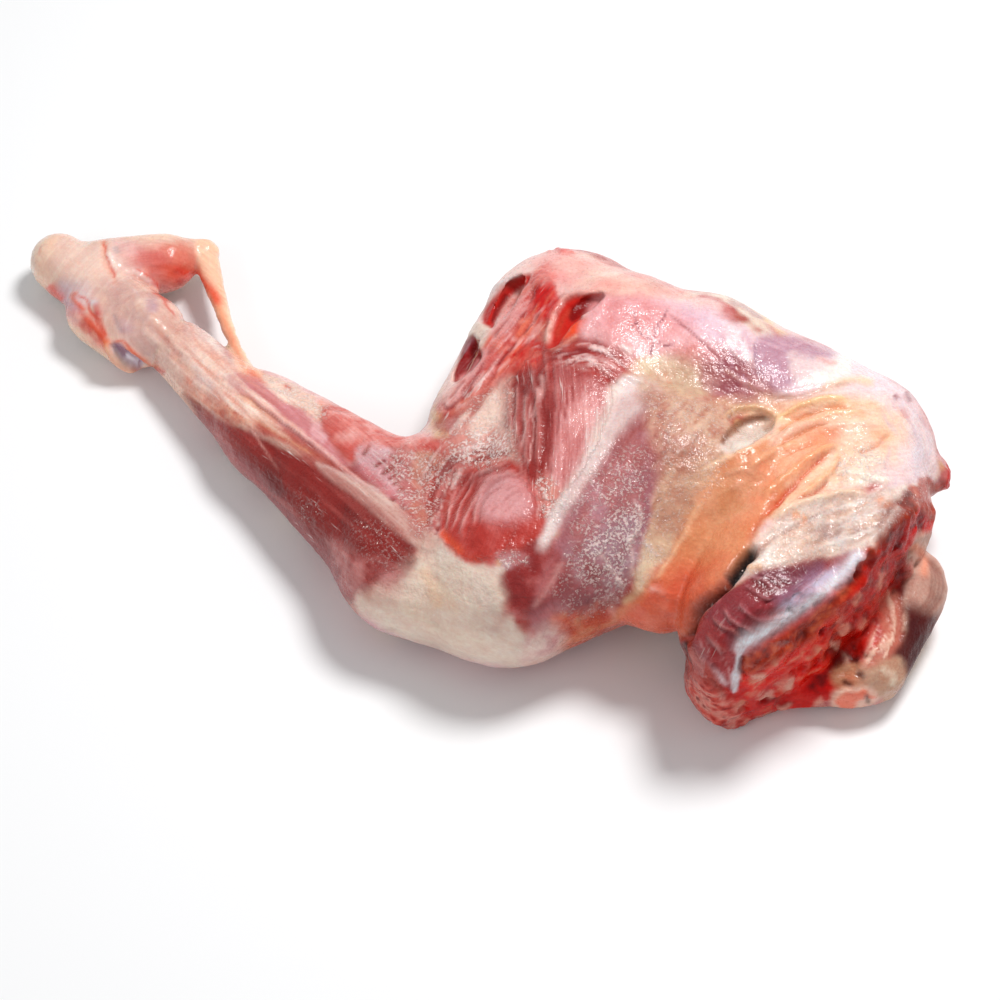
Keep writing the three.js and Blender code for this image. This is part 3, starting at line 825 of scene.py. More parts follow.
# A painted highlight on the membrane.
streak("620,344 628,350 634,352", WHITE, 4, 0.8, height=0.8)
for vein in ("634,312 638,330 652,341", "666,312 658,324 655,340", "652,341 650,354",
             "655,341 676,344"):
    streak(vein, (160, 96, 110), 1.1, 0.75, 0.5, height=-0.3)
streak("668,314 684,328 704,346 726,366 746,382", (168, 100, 96), 1.6, 0.75, 0.8, height=-0.7)
area("672,348 700,344 718,360 712,368 688,366", (212, 132, 126), soft=5, ragged=4, strength=0.85)
area("628,368 650,356 690,366 716,372 706,392 680,400 650,396 636,380", (230, 212, 184), soft=6,
    ragged=4, height=0.6)
area("676,372 706,374 716,388 696,396 672,388", (214, 206, 178), soft=8, ragged=4, strength=0.7)
streak("664,372 670,386", ORANGE, 2.4, 0.6)
streak("620,374 640,382 652,390", (230, 214, 180), 3, 0.9, height=1.0)
area("624,376 648,382 664,394 650,410 624,432 604,456 584,484 564,516 546,548 536,548 552,512 568,482 "
    "586,452 600,424 612,398", (238, 228, 224), soft=4, ragged=2, height=0.9, shine=0.32)
area("622,384 610,420 598,444 590,440 602,410 612,386", (246, 234, 220), soft=5, strength=0.8)
streak("628,392 606,436 580,476 556,520", (196, 186, 190), 1.6, 0.5, 1.0, height=-0.5)
area("650,400 662,410 668,440 664,470 650,505 640,545 616,585 590,606 566,626 548,640 532,624 532,596 "
    "550,556 566,522 588,484 610,452 632,424", (184, 122, 130), soft=5, ragged=3, shine=0.36)
area("646,410 660,420 660,446 640,470 624,452 636,428", (176, 104, 106), soft=8, ragged=4, strength=0.8)
area("600,520 640,500 652,520 630,560 600,575 575,560", (168, 118, 136), soft=10, ragged=6,
    strength=0.8, frosty=0.5)
area("540,590 560,575 590,580 600,600 575,625 548,640", (170, 88, 96), soft=8, ragged=6, strength=0.7)
area("590,470 640,450 650,500 620,540 580,545 570,510", None, soft=12, ragged=8, frosty=0.55)
for thread in ("632,504 634,530 626,560 622,600", "604,560 596,576 612,590 618,606",
               "640,528 634,548 640,566"):
    streak(thread, (222, 190, 186), 2.6, 0.55, 5, height=0.5, frosty=0.9)
print("upper thigh marked")

# %% [markdown]
# ## The rump
#
# Pale lilac membrane lies over the upper edge, with a window of purple muscle in it. Folds of cream
# and orange fat gather towards the sawn end, with painted shadow in the creases between them, and an
# oval hollow is left between two of them, with painted shadow inside its upper rim.

# %% Mark the rump
area("650,296 700,306 760,334 842,352 905,392 930,440 936,480 900,500 860,440 800,400 760,395 740,380 "
    "700,346 668,314", (238, 216, 220), soft=6, ragged=3, shine=0.28)
area("686,306 720,318 730,344 710,350 684,326", (222, 184, 198), soft=10, ragged=5, strength=0.6)
area("728,330 752,332 760,380 744,380 722,350", (240, 218, 220), soft=7, ragged=5, strength=0.7)
area("756,344 772,332 802,340 836,354 815,358 806,371 784,386 768,392 758,378", (202, 160, 176), soft=5,
    ragged=3, strength=0.85, height=-0.6)
strands("758,340 802,342 806,366 770,388", "752,352 790,362 830,354", (232, 202, 212), spacing=4,
    length=24, share=0.4, strength=0.7, height=0.4, seed=23)
streak("754,340 756,362 762,388", (150, 110, 140), 2.0, 0.7, 1.5, height=-0.5)
area("712,352 736,356 756,376 778,396 768,404 740,404 716,396 700,380", (168, 100, 112), soft=5,
    ragged=4, shine=0.25)
strands("720,372 750,376 772,396 740,402 716,390", "716,370 744,384 776,402", (134, 44, 48), spacing=5,
    length=26, share=0.45, strength=0.85, height=-0.8, seed=25)
streak("722,370 742,380 760,390", (226, 190, 170), 2.2, 0.8, 1.5, height=0.8)
area("790,352 820,358 850,354 842,376 815,386 794,380", (250, 238, 232), soft=6, ragged=5, strength=0.9,
    height=0.6)
streak("816,356 828,362 838,364", (240, 176, 160), 3, 0.5, ragged=2)
area("636,392 680,396 720,404 752,402 730,420 712,450 690,470 664,470 660,430", (228, 200, 180), soft=6,
    ragged=4, frosty=0.4)
strands("660,400 720,404 712,450 668,462", "720,400 690,430 664,470", (190, 130, 104), spacing=6,
    length=30, share=0.42, strength=0.7, height=-0.5, seed=28)
for spot in ((678, 404), (690, 410), (700, 442), (712, 406)):
    streak([spot, (spot[0] + 7, spot[1] + 4)], (176, 90, 84), 3.2, 0.7, 2, height=-0.5)
area("716,402 760,396 800,400 860,398 905,420 900,455 850,480 800,500 772,520 745,480 740,450 772,430",
    (240, 200, 170), soft=6, ragged=3)
area("786,430 812,420 838,424 826,448 800,474 784,476 776,450", (240, 164, 122), soft=7, ragged=4,
    strength=0.85)
area("850,436 868,430 888,436 884,450 862,454", (248, 186, 152), soft=5, ragged=3, strength=0.9)
area("716,446 736,440 770,430 760,452 736,470 716,466", (236, 206, 196), soft=4, ragged=3, strength=0.8)
area("842,452 872,446 888,470 862,486 838,478", (242, 230, 214), soft=5, ragged=4, strength=0.9,
    frosty=0.7)
area("884,400 905,398 922,420 934,450 932,478 905,480 884,486 872,470 900,440", (238, 214, 212), soft=8,
    ragged=4, height=0.6, shine=0.26)
streak("908,424 918,450 912,480", (222, 208, 216), 8, 0.6, ragged=3)
streak("894,394 898,400", (150, 50, 64), 2.4, 0.8)
streak("904,392 911,403", (150, 40, 60), 2.6, 0.8)
streak("900,408 906,420", (226, 130, 110), 3, 0.6)
print("rump coloured")

# %% Lay the folds of fat on the rump
folds = [
    ("770,424 796,408 822,400 852,402", (242, 204, 156), 4.5, 2.2),
    ("778,436 806,424 836,414 872,412", (240, 196, 160), 4.0, 1.7),
    ("764,444 790,434 820,426 860,424 884,428", (244, 208, 186), 4.0, 1.4),
    ("748,470 772,452 800,440", (236, 180, 142), 4.0, 1.2),
    ("762,500 786,478 812,456 842,444", (244, 176, 132), 4.5, 2.2),
    ("796,500 822,480 836,462 838,452", (246, 190, 150), 4.0, 1.7),
    ("770,520 800,504 830,496 870,492", (236, 210, 184), 5.0, 1.8),
    ("836,474 862,474 890,484", (244, 230, 216), 4.5, 1.4),
    ("820,392 850,380 876,384", (246, 214, 190), 4.5, 1.3),
    ("720,418 740,408 764,408 778,418", (226, 188, 148), 3.6, 1.6),
]
for line, colour, wide, high in folds:
    streak(line, colour, wide, 0.8, 1.5, height=high)
# The orange-brown of each crease is painted shadow, the shade between two folds, laid along a sunk line.
crease_shadows = [
    ("774,432 800,418 828,408 856,408", (214, 140, 92), 2.2, 1.4),
    ("776,448 800,434 830,422", (206, 132, 92), 2.0, 1.4),
    ("770,512 788,492 812,466 832,452", (208, 98, 66), 2.2, 2.0),
    ("764,518 776,502 800,480", (214, 104, 70), 2.6, 1.2),
    ("796,500 814,494 830,480", (200, 110, 80), 2.0, 1.4),
    ("780,458 800,448 820,442", (222, 150, 112), 2.0, 0.9),
    ("856,452 876,446 892,432", (222, 160, 130), 2.0, 1.0),
    ("770,400 800,396 830,388 852,384", (222, 190, 178), 2.2, 0.9),
]
for line, colour, wide, deep in crease_shadows:
    streak(line, colour, wide, 0.75, 1.2, height=-deep)
area("718,453 722,441 735,428 754,417 774,416 772,426 760,437 742,448 728,456", (230, 208, 194),
    soft=2.5, ragged=1, height=-2.2, shine=0.24)
# Painted shadow: the dark brown line inside the hollow's upper rim and the brown at its right end.
streak("719,448 730,432 750,420 770,418", (146, 104, 84), 2.6, 0.85, 0.8)
streak("744,436 762,424 772,422", (170, 128, 108), 3.2, 0.5, 1.5)
streak("722,448 724,452", WHITE, 4, 0.9, 0.4, taper=0, height=2.0, shine=0.1)
print("folds laid:", len(folds), "ridges and", len(crease_shadows), "crease_shadows")

# %% [markdown]
# ## The lobe of orange fat and the cleft
#
# A smooth tan lobe lies between the thigh and the flank. It reddens towards the lower edge, and the
# cleft behind it is so deep that it looks black.

# %% Mark the orange lobe
area("664,470 690,462 712,452 730,462 714,490 690,520 670,556 650,580 636,590 640,556 650,520",
    (226, 198, 170), soft=5, ragged=4, frosty=0.3)
strands("650,452 690,450 684,490 652,512", "700,450 670,480 648,510", (186, 128, 98), spacing=5,
    length=26, share=0.45, strength=0.8, height=-0.5, seed=33)
area("720,462 748,446 774,440 788,470 782,500 764,524 750,548 732,568 708,588 692,604 690,624 676,636 "
    "640,640 604,638 592,624 628,604 652,584 668,558 682,524 704,492", (224, 148, 104), soft=4,
    ragged=1.5, shine=0.22)
area("660,570 700,560 730,560 700,600 690,630 640,640 612,630 640,600", (226, 108, 72), soft=12,
    ragged=5, strength=0.9)
area("690,490 720,480 740,500 710,540 684,550 678,525", (214, 148, 100), soft=12, ragged=4,
    strength=0.8)
streak("752,470 770,480 764,506 744,536", (238, 150, 110), 8, 0.6, ragged=3)
streak("650,590 664,602 668,620", (234, 120, 100), 9, 0.6, ragged=5)
streak("648,588 658,590 668,594", (240, 190, 176), 3.5, 0.8, 2.5, height=0.6)
streak("620,622 626,634 636,640", (236, 160, 160), 4, 0.7, 3)
area("556,622 580,612 604,612 610,630 592,642 566,646", (216, 130, 84), soft=5, ragged=4, shine=0.22)
area("528,640 552,632 566,640 556,660 530,668", (232, 200, 190), soft=6, ragged=3, strength=0.8)
streak("610,600 612,620 606,640", (224, 178, 168), 4, 0.7, 2)
for line in ("724,476 742,470 756,474", "728,490 744,482", "738,462 760,458"):
    streak(line, (240, 196, 170), 2.6, 0.8, 2.5, height=0.8)
streak("716,494 704,510 694,530", (200, 130, 90), 5, 0.4, 2, height=-0.4)
streak("778,476 772,500 758,524 748,544", (196, 88, 60), 2.6, 0.7, 1.0, height=-0.8)
print("lobe marked")

# %% [markdown]
# ## The flank and its flap
#
# Crumpled cream fat covers the top of the flank. Below it the flank muscle is bare: purple red,
# crossed by pale ridges, with a stiff bluish-white edge that hangs over the sawn end in a point.

# %% Mark the flank
area("752,554 764,534 790,512 830,496 872,492 914,482 932,490 905,516 880,536 858,548 830,556 796,563 "
    "762,571 738,584 722,592 732,574", (240, 222, 210), soft=4, ragged=3, frosty=0.35)
strands("752,552 830,500 900,490 880,530 800,560 740,580", "740,580 800,536 900,500", (208, 186, 180),
    spacing=6, length=16, share=0.5, strength=0.6, height=-0.9, seed=38)
strands("752,552 830,500 900,490 880,530 800,560 740,580", "740,580 800,536 900,500", (248, 236, 226),
    spacing=4, length=11, share=0.4, strength=0.6, height=0.9, seed=39)
streak("764,532 780,520 796,512", (224, 190, 180), 5, 0.6, 2)
streak("792,516 800,514 806,520", (234, 190, 140), 4, 0.7, 2)
streak("748,552 758,546 770,544", (236, 170, 126), 4.5, 0.8, 2, height=1.6)
streak("744,562 752,568 764,566", (238, 196, 160), 4, 0.8, 1.5, height=1.2)
streak("872,500 884,506 880,516", (240, 150, 126), 5, 0.7, 2)
streak("846,520 866,514 890,500", (206, 206, 216), 5, 0.5, 2)
area("690,636 694,614 716,596 740,584 762,572 796,564 832,557 822,572 802,590 783,606 762,625 742,640 "
    "733,650 740,664 733,690 716,676 700,660", (166, 82, 90), soft=2.5, ragged=1, shine=0.24)
area("756,573 794,565 826,558 816,574 796,580 766,584", (150, 84, 104), soft=5, ragged=2, strength=0.85)
area("692,636 700,620 716,624 726,640 734,664 730,684 712,668", (182, 78, 80), soft=4, ragged=2,
    strength=0.9)
ribs = [
    ([(738, 600), (746, 611), (760, 618), (776, 618), (790, 614)], (206, 150, 156), 1.8, 0.9),
    ([(724, 606), (732, 620), (744, 628), (760, 632)], (214, 160, 162), 1.9, 1.0),
    ([(712, 616), (722, 626), (734, 632), (744, 640)], (212, 150, 146), 1.6, 0.8),
    ([(750, 576), (762, 580), (774, 588), (780, 590)], (222, 190, 196), 1.3, 0.6),
    ([(758, 572), (772, 577), (784, 583)], (216, 180, 190), 1.2, 0.5),
    ([(744, 584), (756, 590), (764, 598), (776, 602)], (214, 168, 174), 1.3, 0.6),
    ([(776, 572), (790, 578), (806, 578)], (214, 186, 204), 1.4, 0.5),
    ([(706, 632), (716, 644), (728, 652)], (206, 130, 126), 1.6, 0.6),
]
# Each pale rib is raised, and the dark sunk line laid just below it is painted shade under the ridge.
for rib, pale, wide, high in ribs:
    streak(rib, pale, wide, 0.8, 2.5, height=high)
    streak([(x - 1, y + 2.4 * wide) for x, y in rib], (122, 40, 48), 1.5 * wide, 0.5, 2.5, height=-high)
streak("698,612 712,600 722,598", (232, 170, 160), 3, 0.7, 2)
streak("828,562 808,580 788,594 770,608", (190, 174, 204), 8.0, 0.6, 2.0, taper=0.25)
streak("700,656 712,670 726,684", (214, 190, 196), 3.5, 0.6, 1.5)
streak("902,506 880,530 856,548", (236, 222, 214), 6, 0.8, 2, height=1.0)
print("flank marked with", len(ribs), "ribs")

# %% [markdown]
# ## Glazes and fibres
#
# Membrane doesn't end at a line. A second pass softens the patches: mottles that wander from pink to
# red, thin glazes that deepen a whole muscle, and the direction in which each muscle's fibres run,
# which the shader follows with its finest threads.

# %% Run the fibres along the shank
SHANK_RUN = "150,330 230,400 320,470 420,560"
run_fibres("180,380 240,380 330,410 440,440 420,560 360,610 300,560", SHANK_RUN, 12, 0.8, 0.25)
run_fibres("60,240 215,235 240,390 190,400 60,330", SHANK_RUN, 9, 0.4)
streak("150,280 166,292 181,300", (226, 70, 40), 4, 0.8, 1)
streak("182,274 200,280 214,294 220,308", (236, 84, 48), 5, 0.8, 1)
for line in ("196,352 240,400 296,446", "206,346 250,392 310,440", "186,370 226,408 262,432",
             "214,372 250,406 286,432"):
    streak(line, (246, 212, 194), 2.2, 0.6, 2, height=0.5)
patchwork("180,384 214,388 246,402 262,424 236,424 204,408",
    [(214, 110, 84), (238, 176, 150), (244, 200, 180)], 8, soft=8, ragged=6, strength=0.6, seed=88)
patchwork("196,410 250,440 320,476 372,510 408,545 404,586 366,600 320,560 250,480",
    [(120, 40, 38), (148, 50, 46), (158, 56, 50), (176, 84, 80)], 26, soft=12, ragged=4, strength=0.55,
    seed=63)
streak("192,408 240,476 292,540 336,592", (196, 120, 118), 9, 0.6, 4)
strands("200,412 330,470 410,540 396,590 330,560", SHANK_RUN, (186, 100, 94), spacing=7, length=90,
    share=0.35, strength=0.5, height=0.3, seed=64)
patchwork("330,545 372,560 402,572 392,598 352,604", [(196, 110, 106), (214, 150, 146), (166, 70, 66)],
    10, soft=10, ragged=6, strength=0.7, seed=65)
patchwork("326,408 372,420 436,440 440,452 380,444 350,452 332,440",
    [(206, 90, 82), (228, 150, 142), (238, 190, 184)], 9, soft=6, ragged=4, strength=0.7, seed=66)
glaze("320,470 360,486 410,516 440,545 410,560 360,520", (0.86, 0.7, 0.68), 8)
area("124,256 150,250 182,256 190,270 170,278 140,272", (238, 120, 104), soft=14, ragged=5,
    strength=0.5)
area("66,246 96,240 124,262 118,300 90,310 70,280", (240, 212, 200), soft=14, ragged=6, strength=0.5)
patchwork("100,290 150,270 196,310 236,372 226,400 180,376 130,344",
    [(226, 190, 180), (242, 214, 202), (214, 182, 182), (244, 220, 206)], 14, soft=14, ragged=7,
    strength=0.5, seed=111)
strands("140,300 200,330 256,376 288,402 240,420 190,396 150,350", SHANK_RUN, (252, 230, 218),
    spacing=7, length=80, share=0.4, soft=10, strength=0.75, height=0.5, seed=112)
strands("150,320 210,350 260,392 236,416 186,390", SHANK_RUN, (226, 150, 128), spacing=6, length=50,
    share=0.22, soft=10, strength=0.6, height=-0.3, seed=113)
for vein in ("104,240 108,262 118,280", "76,296 86,300 90,312 104,322", "86,306 96,318 106,336",
             "150,292 164,300 176,318", "134,268 148,276 162,290"):
    streak(vein, (222, 92, 70), 1.3, 0.7, 2.5, height=-0.2)
area("112,345 120,343 132,355 143,364 138,369 126,363 116,354", (170, 134, 152), soft=2.5, ragged=1,
    height=-1.0)
streak("124,358 132,363 140,367", (240, 232, 240), 3.0, 0.9, 0.6, taper=0.1, shine=0.15)
streak("108,340 112,354 124,366 138,372 146,368", (238, 196, 170), 2.6, 0.85, 0.8, height=1.0)
streak("112,342 122,341 134,352 148,363", (226, 110, 76), 1.8, 0.8, 1.0)
print("shank glazed")

# %% Run the fibres over the thigh
run_fibres("350,600 420,560 500,560 560,640 500,680 400,650", "350,590 430,600 540,660", 8, 0.25, 0.2)
run_fibres("508,372 560,352 612,380 600,440 560,496 520,480", "540,350 545,420 540,500", 12, 1.0, 0.35)
run_fibres("430,470 500,450 530,470 500,556 440,540", "520,450 480,480 452,540", 14, 0.8, 0.22)
run_fibres("480,500 488,480 506,474 524,484 530,506 520,524 500,526 482,518", "480,520 500,490 524,480",
    6, 0.2, 0.0)
run_fibres("600,300 700,320 740,380 640,380 600,350", "600,300 660,340 740,380", 7, 0.3, 0.15)
run_fibres("650,400 668,440 650,520 600,610 530,640 550,560 610,450", "650,390 620,480 560,600", 7,
    0.45, 0.15)
run_fibres("436,400 470,350 545,280 556,320 510,380 450,440", "550,270 490,350 430,430", 7, 0.6, 0.3)
patchwork("508,366 548,344 584,340 622,350 640,370 606,384 572,384 556,410 550,470 528,470 514,420",
    [(150, 46, 44), (176, 66, 60), (200, 104, 98)], 12, soft=9, ragged=5, strength=0.6, seed=67)
patchwork("556,380 600,384 606,400 590,440 568,486 552,480 552,420",
    [(200, 120, 118), (216, 150, 148), (232, 182, 178)], 14, soft=9, ragged=5, strength=0.8, seed=68)
for x, top, foot, wide in ((517, 384, 430, 1.1), (524, 392, 452, 1.7), (531, 398, 470, 1.0),
                           (537, 386, 420, 2.4), (541, 372, 400, 2.8)):
    streak([(x, top), (x + 1, (top + foot) / 2), (x - 3, foot)], (242, 210, 204), wide, 0.85, 2.5,
        height=0.4)
for x, top, foot, wide in ((552, 384, 462, 2.4), (559, 388, 440, 1.6), (566, 386, 424, 1.2),
                           (546, 404, 476, 2.6), (573, 384, 404, 1.4)):
    streak([(x, top), (x, (top + foot) / 2), (x - 2, foot)], (158, 46, 44), wide, 0.7, 2.0, height=-0.4)
SWEEP = "546,366 580,350 612,356 640,380"
strands("548,358 580,340 618,344 642,372 626,386 590,376 556,378", SWEEP, (140, 30, 32), spacing=4.5,
    length=34, share=0.5, soft=9, strength=0.7, height=-0.5, seed=101)
strands("556,354 590,340 622,350 640,372 612,372 570,366", SWEEP, (244, 214, 210), spacing=3, length=22,
    share=0.3, soft=8, strength=0.85, height=0.4, seed=102)
area("550,376 562,366 592,368 614,380 600,392 574,392 560,410 550,400", (170, 54, 52), soft=12,
    ragged=4, strength=0.6)
patchwork("470,470 500,460 532,480 540,520 512,544 478,552 450,536 452,500",
    [(168, 50, 44), (190, 78, 72), (214, 130, 126)], 9, soft=7, ragged=5, strength=0.45, seed=69)
area("480,500 488,482 506,476 522,486 528,506 520,520 500,524 484,516", (220, 164, 164), soft=12,
    ragged=4, strength=0.8)
strands("482,500 492,482 512,478 526,496 520,518 496,522", "476,524 500,500 530,478", (186, 104, 104),
    spacing=3.2, length=24, share=0.4, soft=7, strength=0.45, height=-0.2, seed=103)
patchwork("462,528 520,520 540,530 516,552 486,566 462,552",
    [(172, 60, 50), (186, 70, 62), (206, 110, 104)], 9, soft=7, ragged=5, strength=0.7, seed=70)
streak("440,530 450,542 462,554", (226, 96, 56), 5, 0.5, 2)
patchwork("532,312 538,280 548,272 556,284 556,306 544,320",
    [(226, 110, 100), (214, 36, 34), (220, 30, 30)], 4, soft=4, ragged=6, strength=0.85, height=0.6,
    shine=0.14, seed=95)
patchwork("492,372 504,356 528,346 540,352 530,364 508,374",
    [(214, 48, 40), (226, 120, 104), (210, 36, 34)], 4, soft=4, ragged=6, strength=0.8, height=0.4,
    shine=0.14, seed=96)
patchwork("470,396 480,376 500,366 494,384 478,402", [(196, 80, 72), (222, 150, 140), (176, 60, 56)], 5,
    soft=5, ragged=6, strength=0.6, seed=97)
area("500,378 512,376 508,400 494,424 478,440 470,430 486,404", (240, 214, 200), soft=5, ragged=4,
    strength=0.75, height=0.6)
for shade, share, seed in (((244, 218, 212), 0.28, 141), ((160, 22, 24), 0.3, 142),
                           ((238, 150, 120), 0.2, 143)):
    strands("546,280 552,300 524,350 470,398 440,412 476,362 510,306", "548,280 500,340 448,402", shade,
        spacing=4, length=24, share=share, soft=7, strength=0.75, height=0.4 if seed % 2 else -0.4,
        seed=seed)
strands("424,462 468,446 512,450 470,480 446,520 432,530", "512,452 462,470 438,524", (244, 216, 210),
    spacing=4.5, length=30, share=0.35, soft=8, strength=0.8, height=0.6, seed=144)
strands("424,462 468,446 512,450 470,480 446,520 432,530", "512,452 462,470 438,524", (150, 34, 32),
    spacing=4.5, length=30, share=0.3, soft=8, strength=0.7, height=-0.6, seed=145)
print("thigh fibres laid")

# %% Glaze the thigh and the knee
patchwork("640,398 664,410 668,440 650,500 640,545 610,590 574,622 540,636 534,610 556,560 574,516 "
    "606,456", [(150, 96, 104), (172, 112, 116), (186, 116, 112), (196, 150, 158)], 22, soft=10,
    ragged=6, strength=0.75, seed=71)
patchwork("604,530 636,516 640,560 612,590 580,580 570,550",
    [(140, 96, 110), (186, 160, 170), (156, 100, 104)], 8, soft=12, ragged=8, strength=0.6, frosty=1.0,
    seed=72)
patchwork("566,566 600,560 628,580 606,610 572,618 552,600",
    [(132, 60, 60), (160, 84, 84), (196, 150, 154)], 8, soft=10, ragged=8, strength=0.6, frosty=0.6,
    seed=105)
for thread in ("634,496 640,520 630,548 634,576", "596,548 610,566 624,588",
               "640,530 650,544 656,560"):
    streak(thread, (226, 200, 196), 2.0, 0.6, 6, height=0.4, frosty=1.0)
patchwork("506,560 530,545 556,546 566,580 548,600 524,622 506,606",
    [(136, 40, 40), (160, 60, 58), (190, 110, 108)], 9, soft=8, ragged=8, strength=0.8, seed=73)
streak("512,602 500,620 494,634", (196, 112, 104), 6, 0.5, 5)
streak("566,560 548,586 530,610", (206, 150, 146), 3.5, 0.6, 3, height=0.3)
streak("552,612 546,632 536,648", (186, 124, 130), 8, 0.6, 4)
patchwork("352,604 410,576 430,560 500,580 506,620 540,650 500,672 420,650",
    [(206, 186, 172), (228, 206, 190), (236, 216, 200), (228, 196, 178)], 20, soft=10, ragged=6,
    strength=0.6, seed=74)
streak("420,566 432,590 440,612", (238, 200, 168), 7, 0.55, 4)
streak("436,576 448,598 462,618", (238, 204, 176), 5, 0.4, 4)
streak("352,612 400,644 452,662 510,672", (222, 170, 180), 5, 0.7, 1.5)
patchwork("552,622 580,612 606,606 616,628 592,646 558,650",
    [(196, 62, 40), (214, 96, 60), (226, 150, 112)], 7, soft=8, ragged=7, strength=0.85, seed=75)
patchwork("526,636 552,626 566,640 548,664 520,670",
    [(224, 184, 172), (236, 210, 200), (214, 160, 160)], 8, soft=9, ragged=6, strength=0.8, seed=104)
patchwork("614,384 650,378 662,396 640,414 606,452 572,510 544,548 548,520 580,460",
    [(214, 186, 188), (232, 212, 208), (240, 226, 220)], 16, soft=8, ragged=4, strength=0.6, seed=76)
print("thigh and knee glazed")

# %% Glaze the rump and the flank
patchwork("640,372 690,350 716,372 708,400 670,402 640,394",
    [(214, 180, 150), (196, 150, 130), (222, 190, 170)], 9, soft=8, ragged=6, strength=0.7, seed=77)
patchwork("646,396 700,400 740,404 716,446 690,480 666,500 656,460",
    [(200, 150, 126), (218, 180, 156), (186, 122, 104), (228, 200, 180)], 7, soft=8, ragged=6,
    strength=0.75, seed=78)
patchwork("700,350 740,356 782,392 770,408 730,402 704,384",
    [(150, 76, 86), (176, 110, 112), (206, 160, 160)], 8, soft=8, ragged=6, strength=0.7, seed=79)
patchwork("600,300 660,300 700,330 720,360 660,350 610,340",
    [(232, 172, 172), (236, 184, 186), (222, 150, 148)], 14, soft=10, ragged=6, strength=0.6, seed=80)
patchwork("560,252 620,266 690,294 640,296 570,288 540,280",
    [(240, 170, 164), (238, 190, 180), (244, 214, 200)], 12, soft=8, ragged=5, strength=0.7, seed=81)
patchwork("664,470 700,450 726,456 700,500 676,545 656,556",
    [(186, 134, 112), (206, 160, 134), (222, 190, 160)], 9, soft=7, ragged=5, strength=0.75, seed=82)
patchwork("750,545 800,510 880,494 900,510 850,546 790,562",
    [(206, 180, 172), (230, 188, 160), (240, 222, 208), (216, 206, 208)], 10, soft=9, ragged=5,
    strength=0.6, seed=83)
strands("752,552 800,514 880,496 884,526 830,552 770,566", "740,584 800,540 910,500", (184, 142, 130),
    spacing=6, length=40, share=0.4, strength=0.65, height=-1.2, seed=106)
strands("752,552 800,514 880,496 884,526 830,552 770,566", "740,584 800,540 910,500", (246, 236, 228),
    spacing=5, length=34, share=0.35, strength=0.7, height=0.9, seed=131)
for spot in ((792, 516), (800, 521), (876, 500), (884, 508)):
    streak([spot, (spot[0] + 8, spot[1] - 3)], (240, 170, 130), 4, 0.6, 4)
glaze("700,600 760,574 830,560 800,600 740,645 700,660", (0.86, 0.66, 0.66), 6)
run_fibres("690,590 830,556 790,610 730,690 690,640", "830,556 760,610 720,680", 9, 0.8, 0.3)
run_fibres("740,400 900,390 930,480 780,520 740,470", "740,480 800,430 900,420", 6, 0.4, 0.2)
run_fibres("640,480 720,450 780,480 740,560 690,630 600,640", "760,460 710,540 640,620", 5, 0.15)
glaze("96,290 150,280 180,320 196,360 150,352 110,330", (0.88, 0.78, 0.76), 10)
glaze("752,342 800,336 836,354 812,376 776,392", (0.82, 0.72, 0.76), 8)
glaze("556,276 544,330 510,372 460,408 440,408 484,350 528,284", (0.92, 0.7, 0.7), 9)
glaze("320,466 366,450 410,470 440,540 400,530 350,490", (0.88, 0.76, 0.76), 8)
streak("724,460 702,500 682,540 654,584", (240, 200, 164), 2.6, 0.8, 2.5, height=0.7)
patchwork("724,462 776,444 786,476 760,526 724,574 690,620 640,636 668,566 700,500",
    [(206, 122, 84), (220, 144, 106), (232, 168, 132)], 22, soft=8, ragged=3, strength=0.5, seed=89)
patchwork("700,490 724,462 772,446 786,470 770,500 736,520 706,520",
    [(206, 146, 108), (228, 172, 140), (236, 150, 116)], 16, soft=12, ragged=5, strength=0.6, seed=107)
patchwork("640,600 700,570 704,600 684,634 620,638", [(214, 84, 56), (230, 112, 84), (236, 146, 124)],
    12, soft=10, ragged=4, strength=0.6, seed=90)
patchwork("760,396 800,396 860,390 900,410 905,450 860,480 800,500 780,470",
    [(236, 176, 144), (244, 206, 180), (240, 216, 200), (246, 190, 158)], 15, soft=10, ragged=6,
    strength=0.6, seed=91)
glaze("500,380 540,370 552,420 540,480 516,460", (0.72, 0.5, 0.5), 8)
glaze("574,450 620,396 660,400 610,470 560,540", (0.86, 0.76, 0.76), 10)
glaze("640,420 700,440 690,500 650,540", (0.88, 0.78, 0.8), 14)
patchwork("784,428 812,420 840,426 826,450 798,478 780,470",
    [(234, 146, 106), (242, 176, 140), (246, 196, 166)], 12, soft=9, ragged=5, strength=0.7, seed=132)
for line, colour, wide, high in folds:
    streak(line, colour, 0.7 * wide, 0.7, 2.5, height=0.9 * high)
# The creases' painted shadow is laid a second time, narrower.
for line, colour, wide, deep in crease_shadows:
    streak(line, colour, 0.8 * wide, 0.85, 1.8, height=-0.9 * deep)
area("722,450 734,434 752,424 770,424 758,436 738,448", (222, 208, 198), soft=3, ragged=1.5,
    strength=0.8)
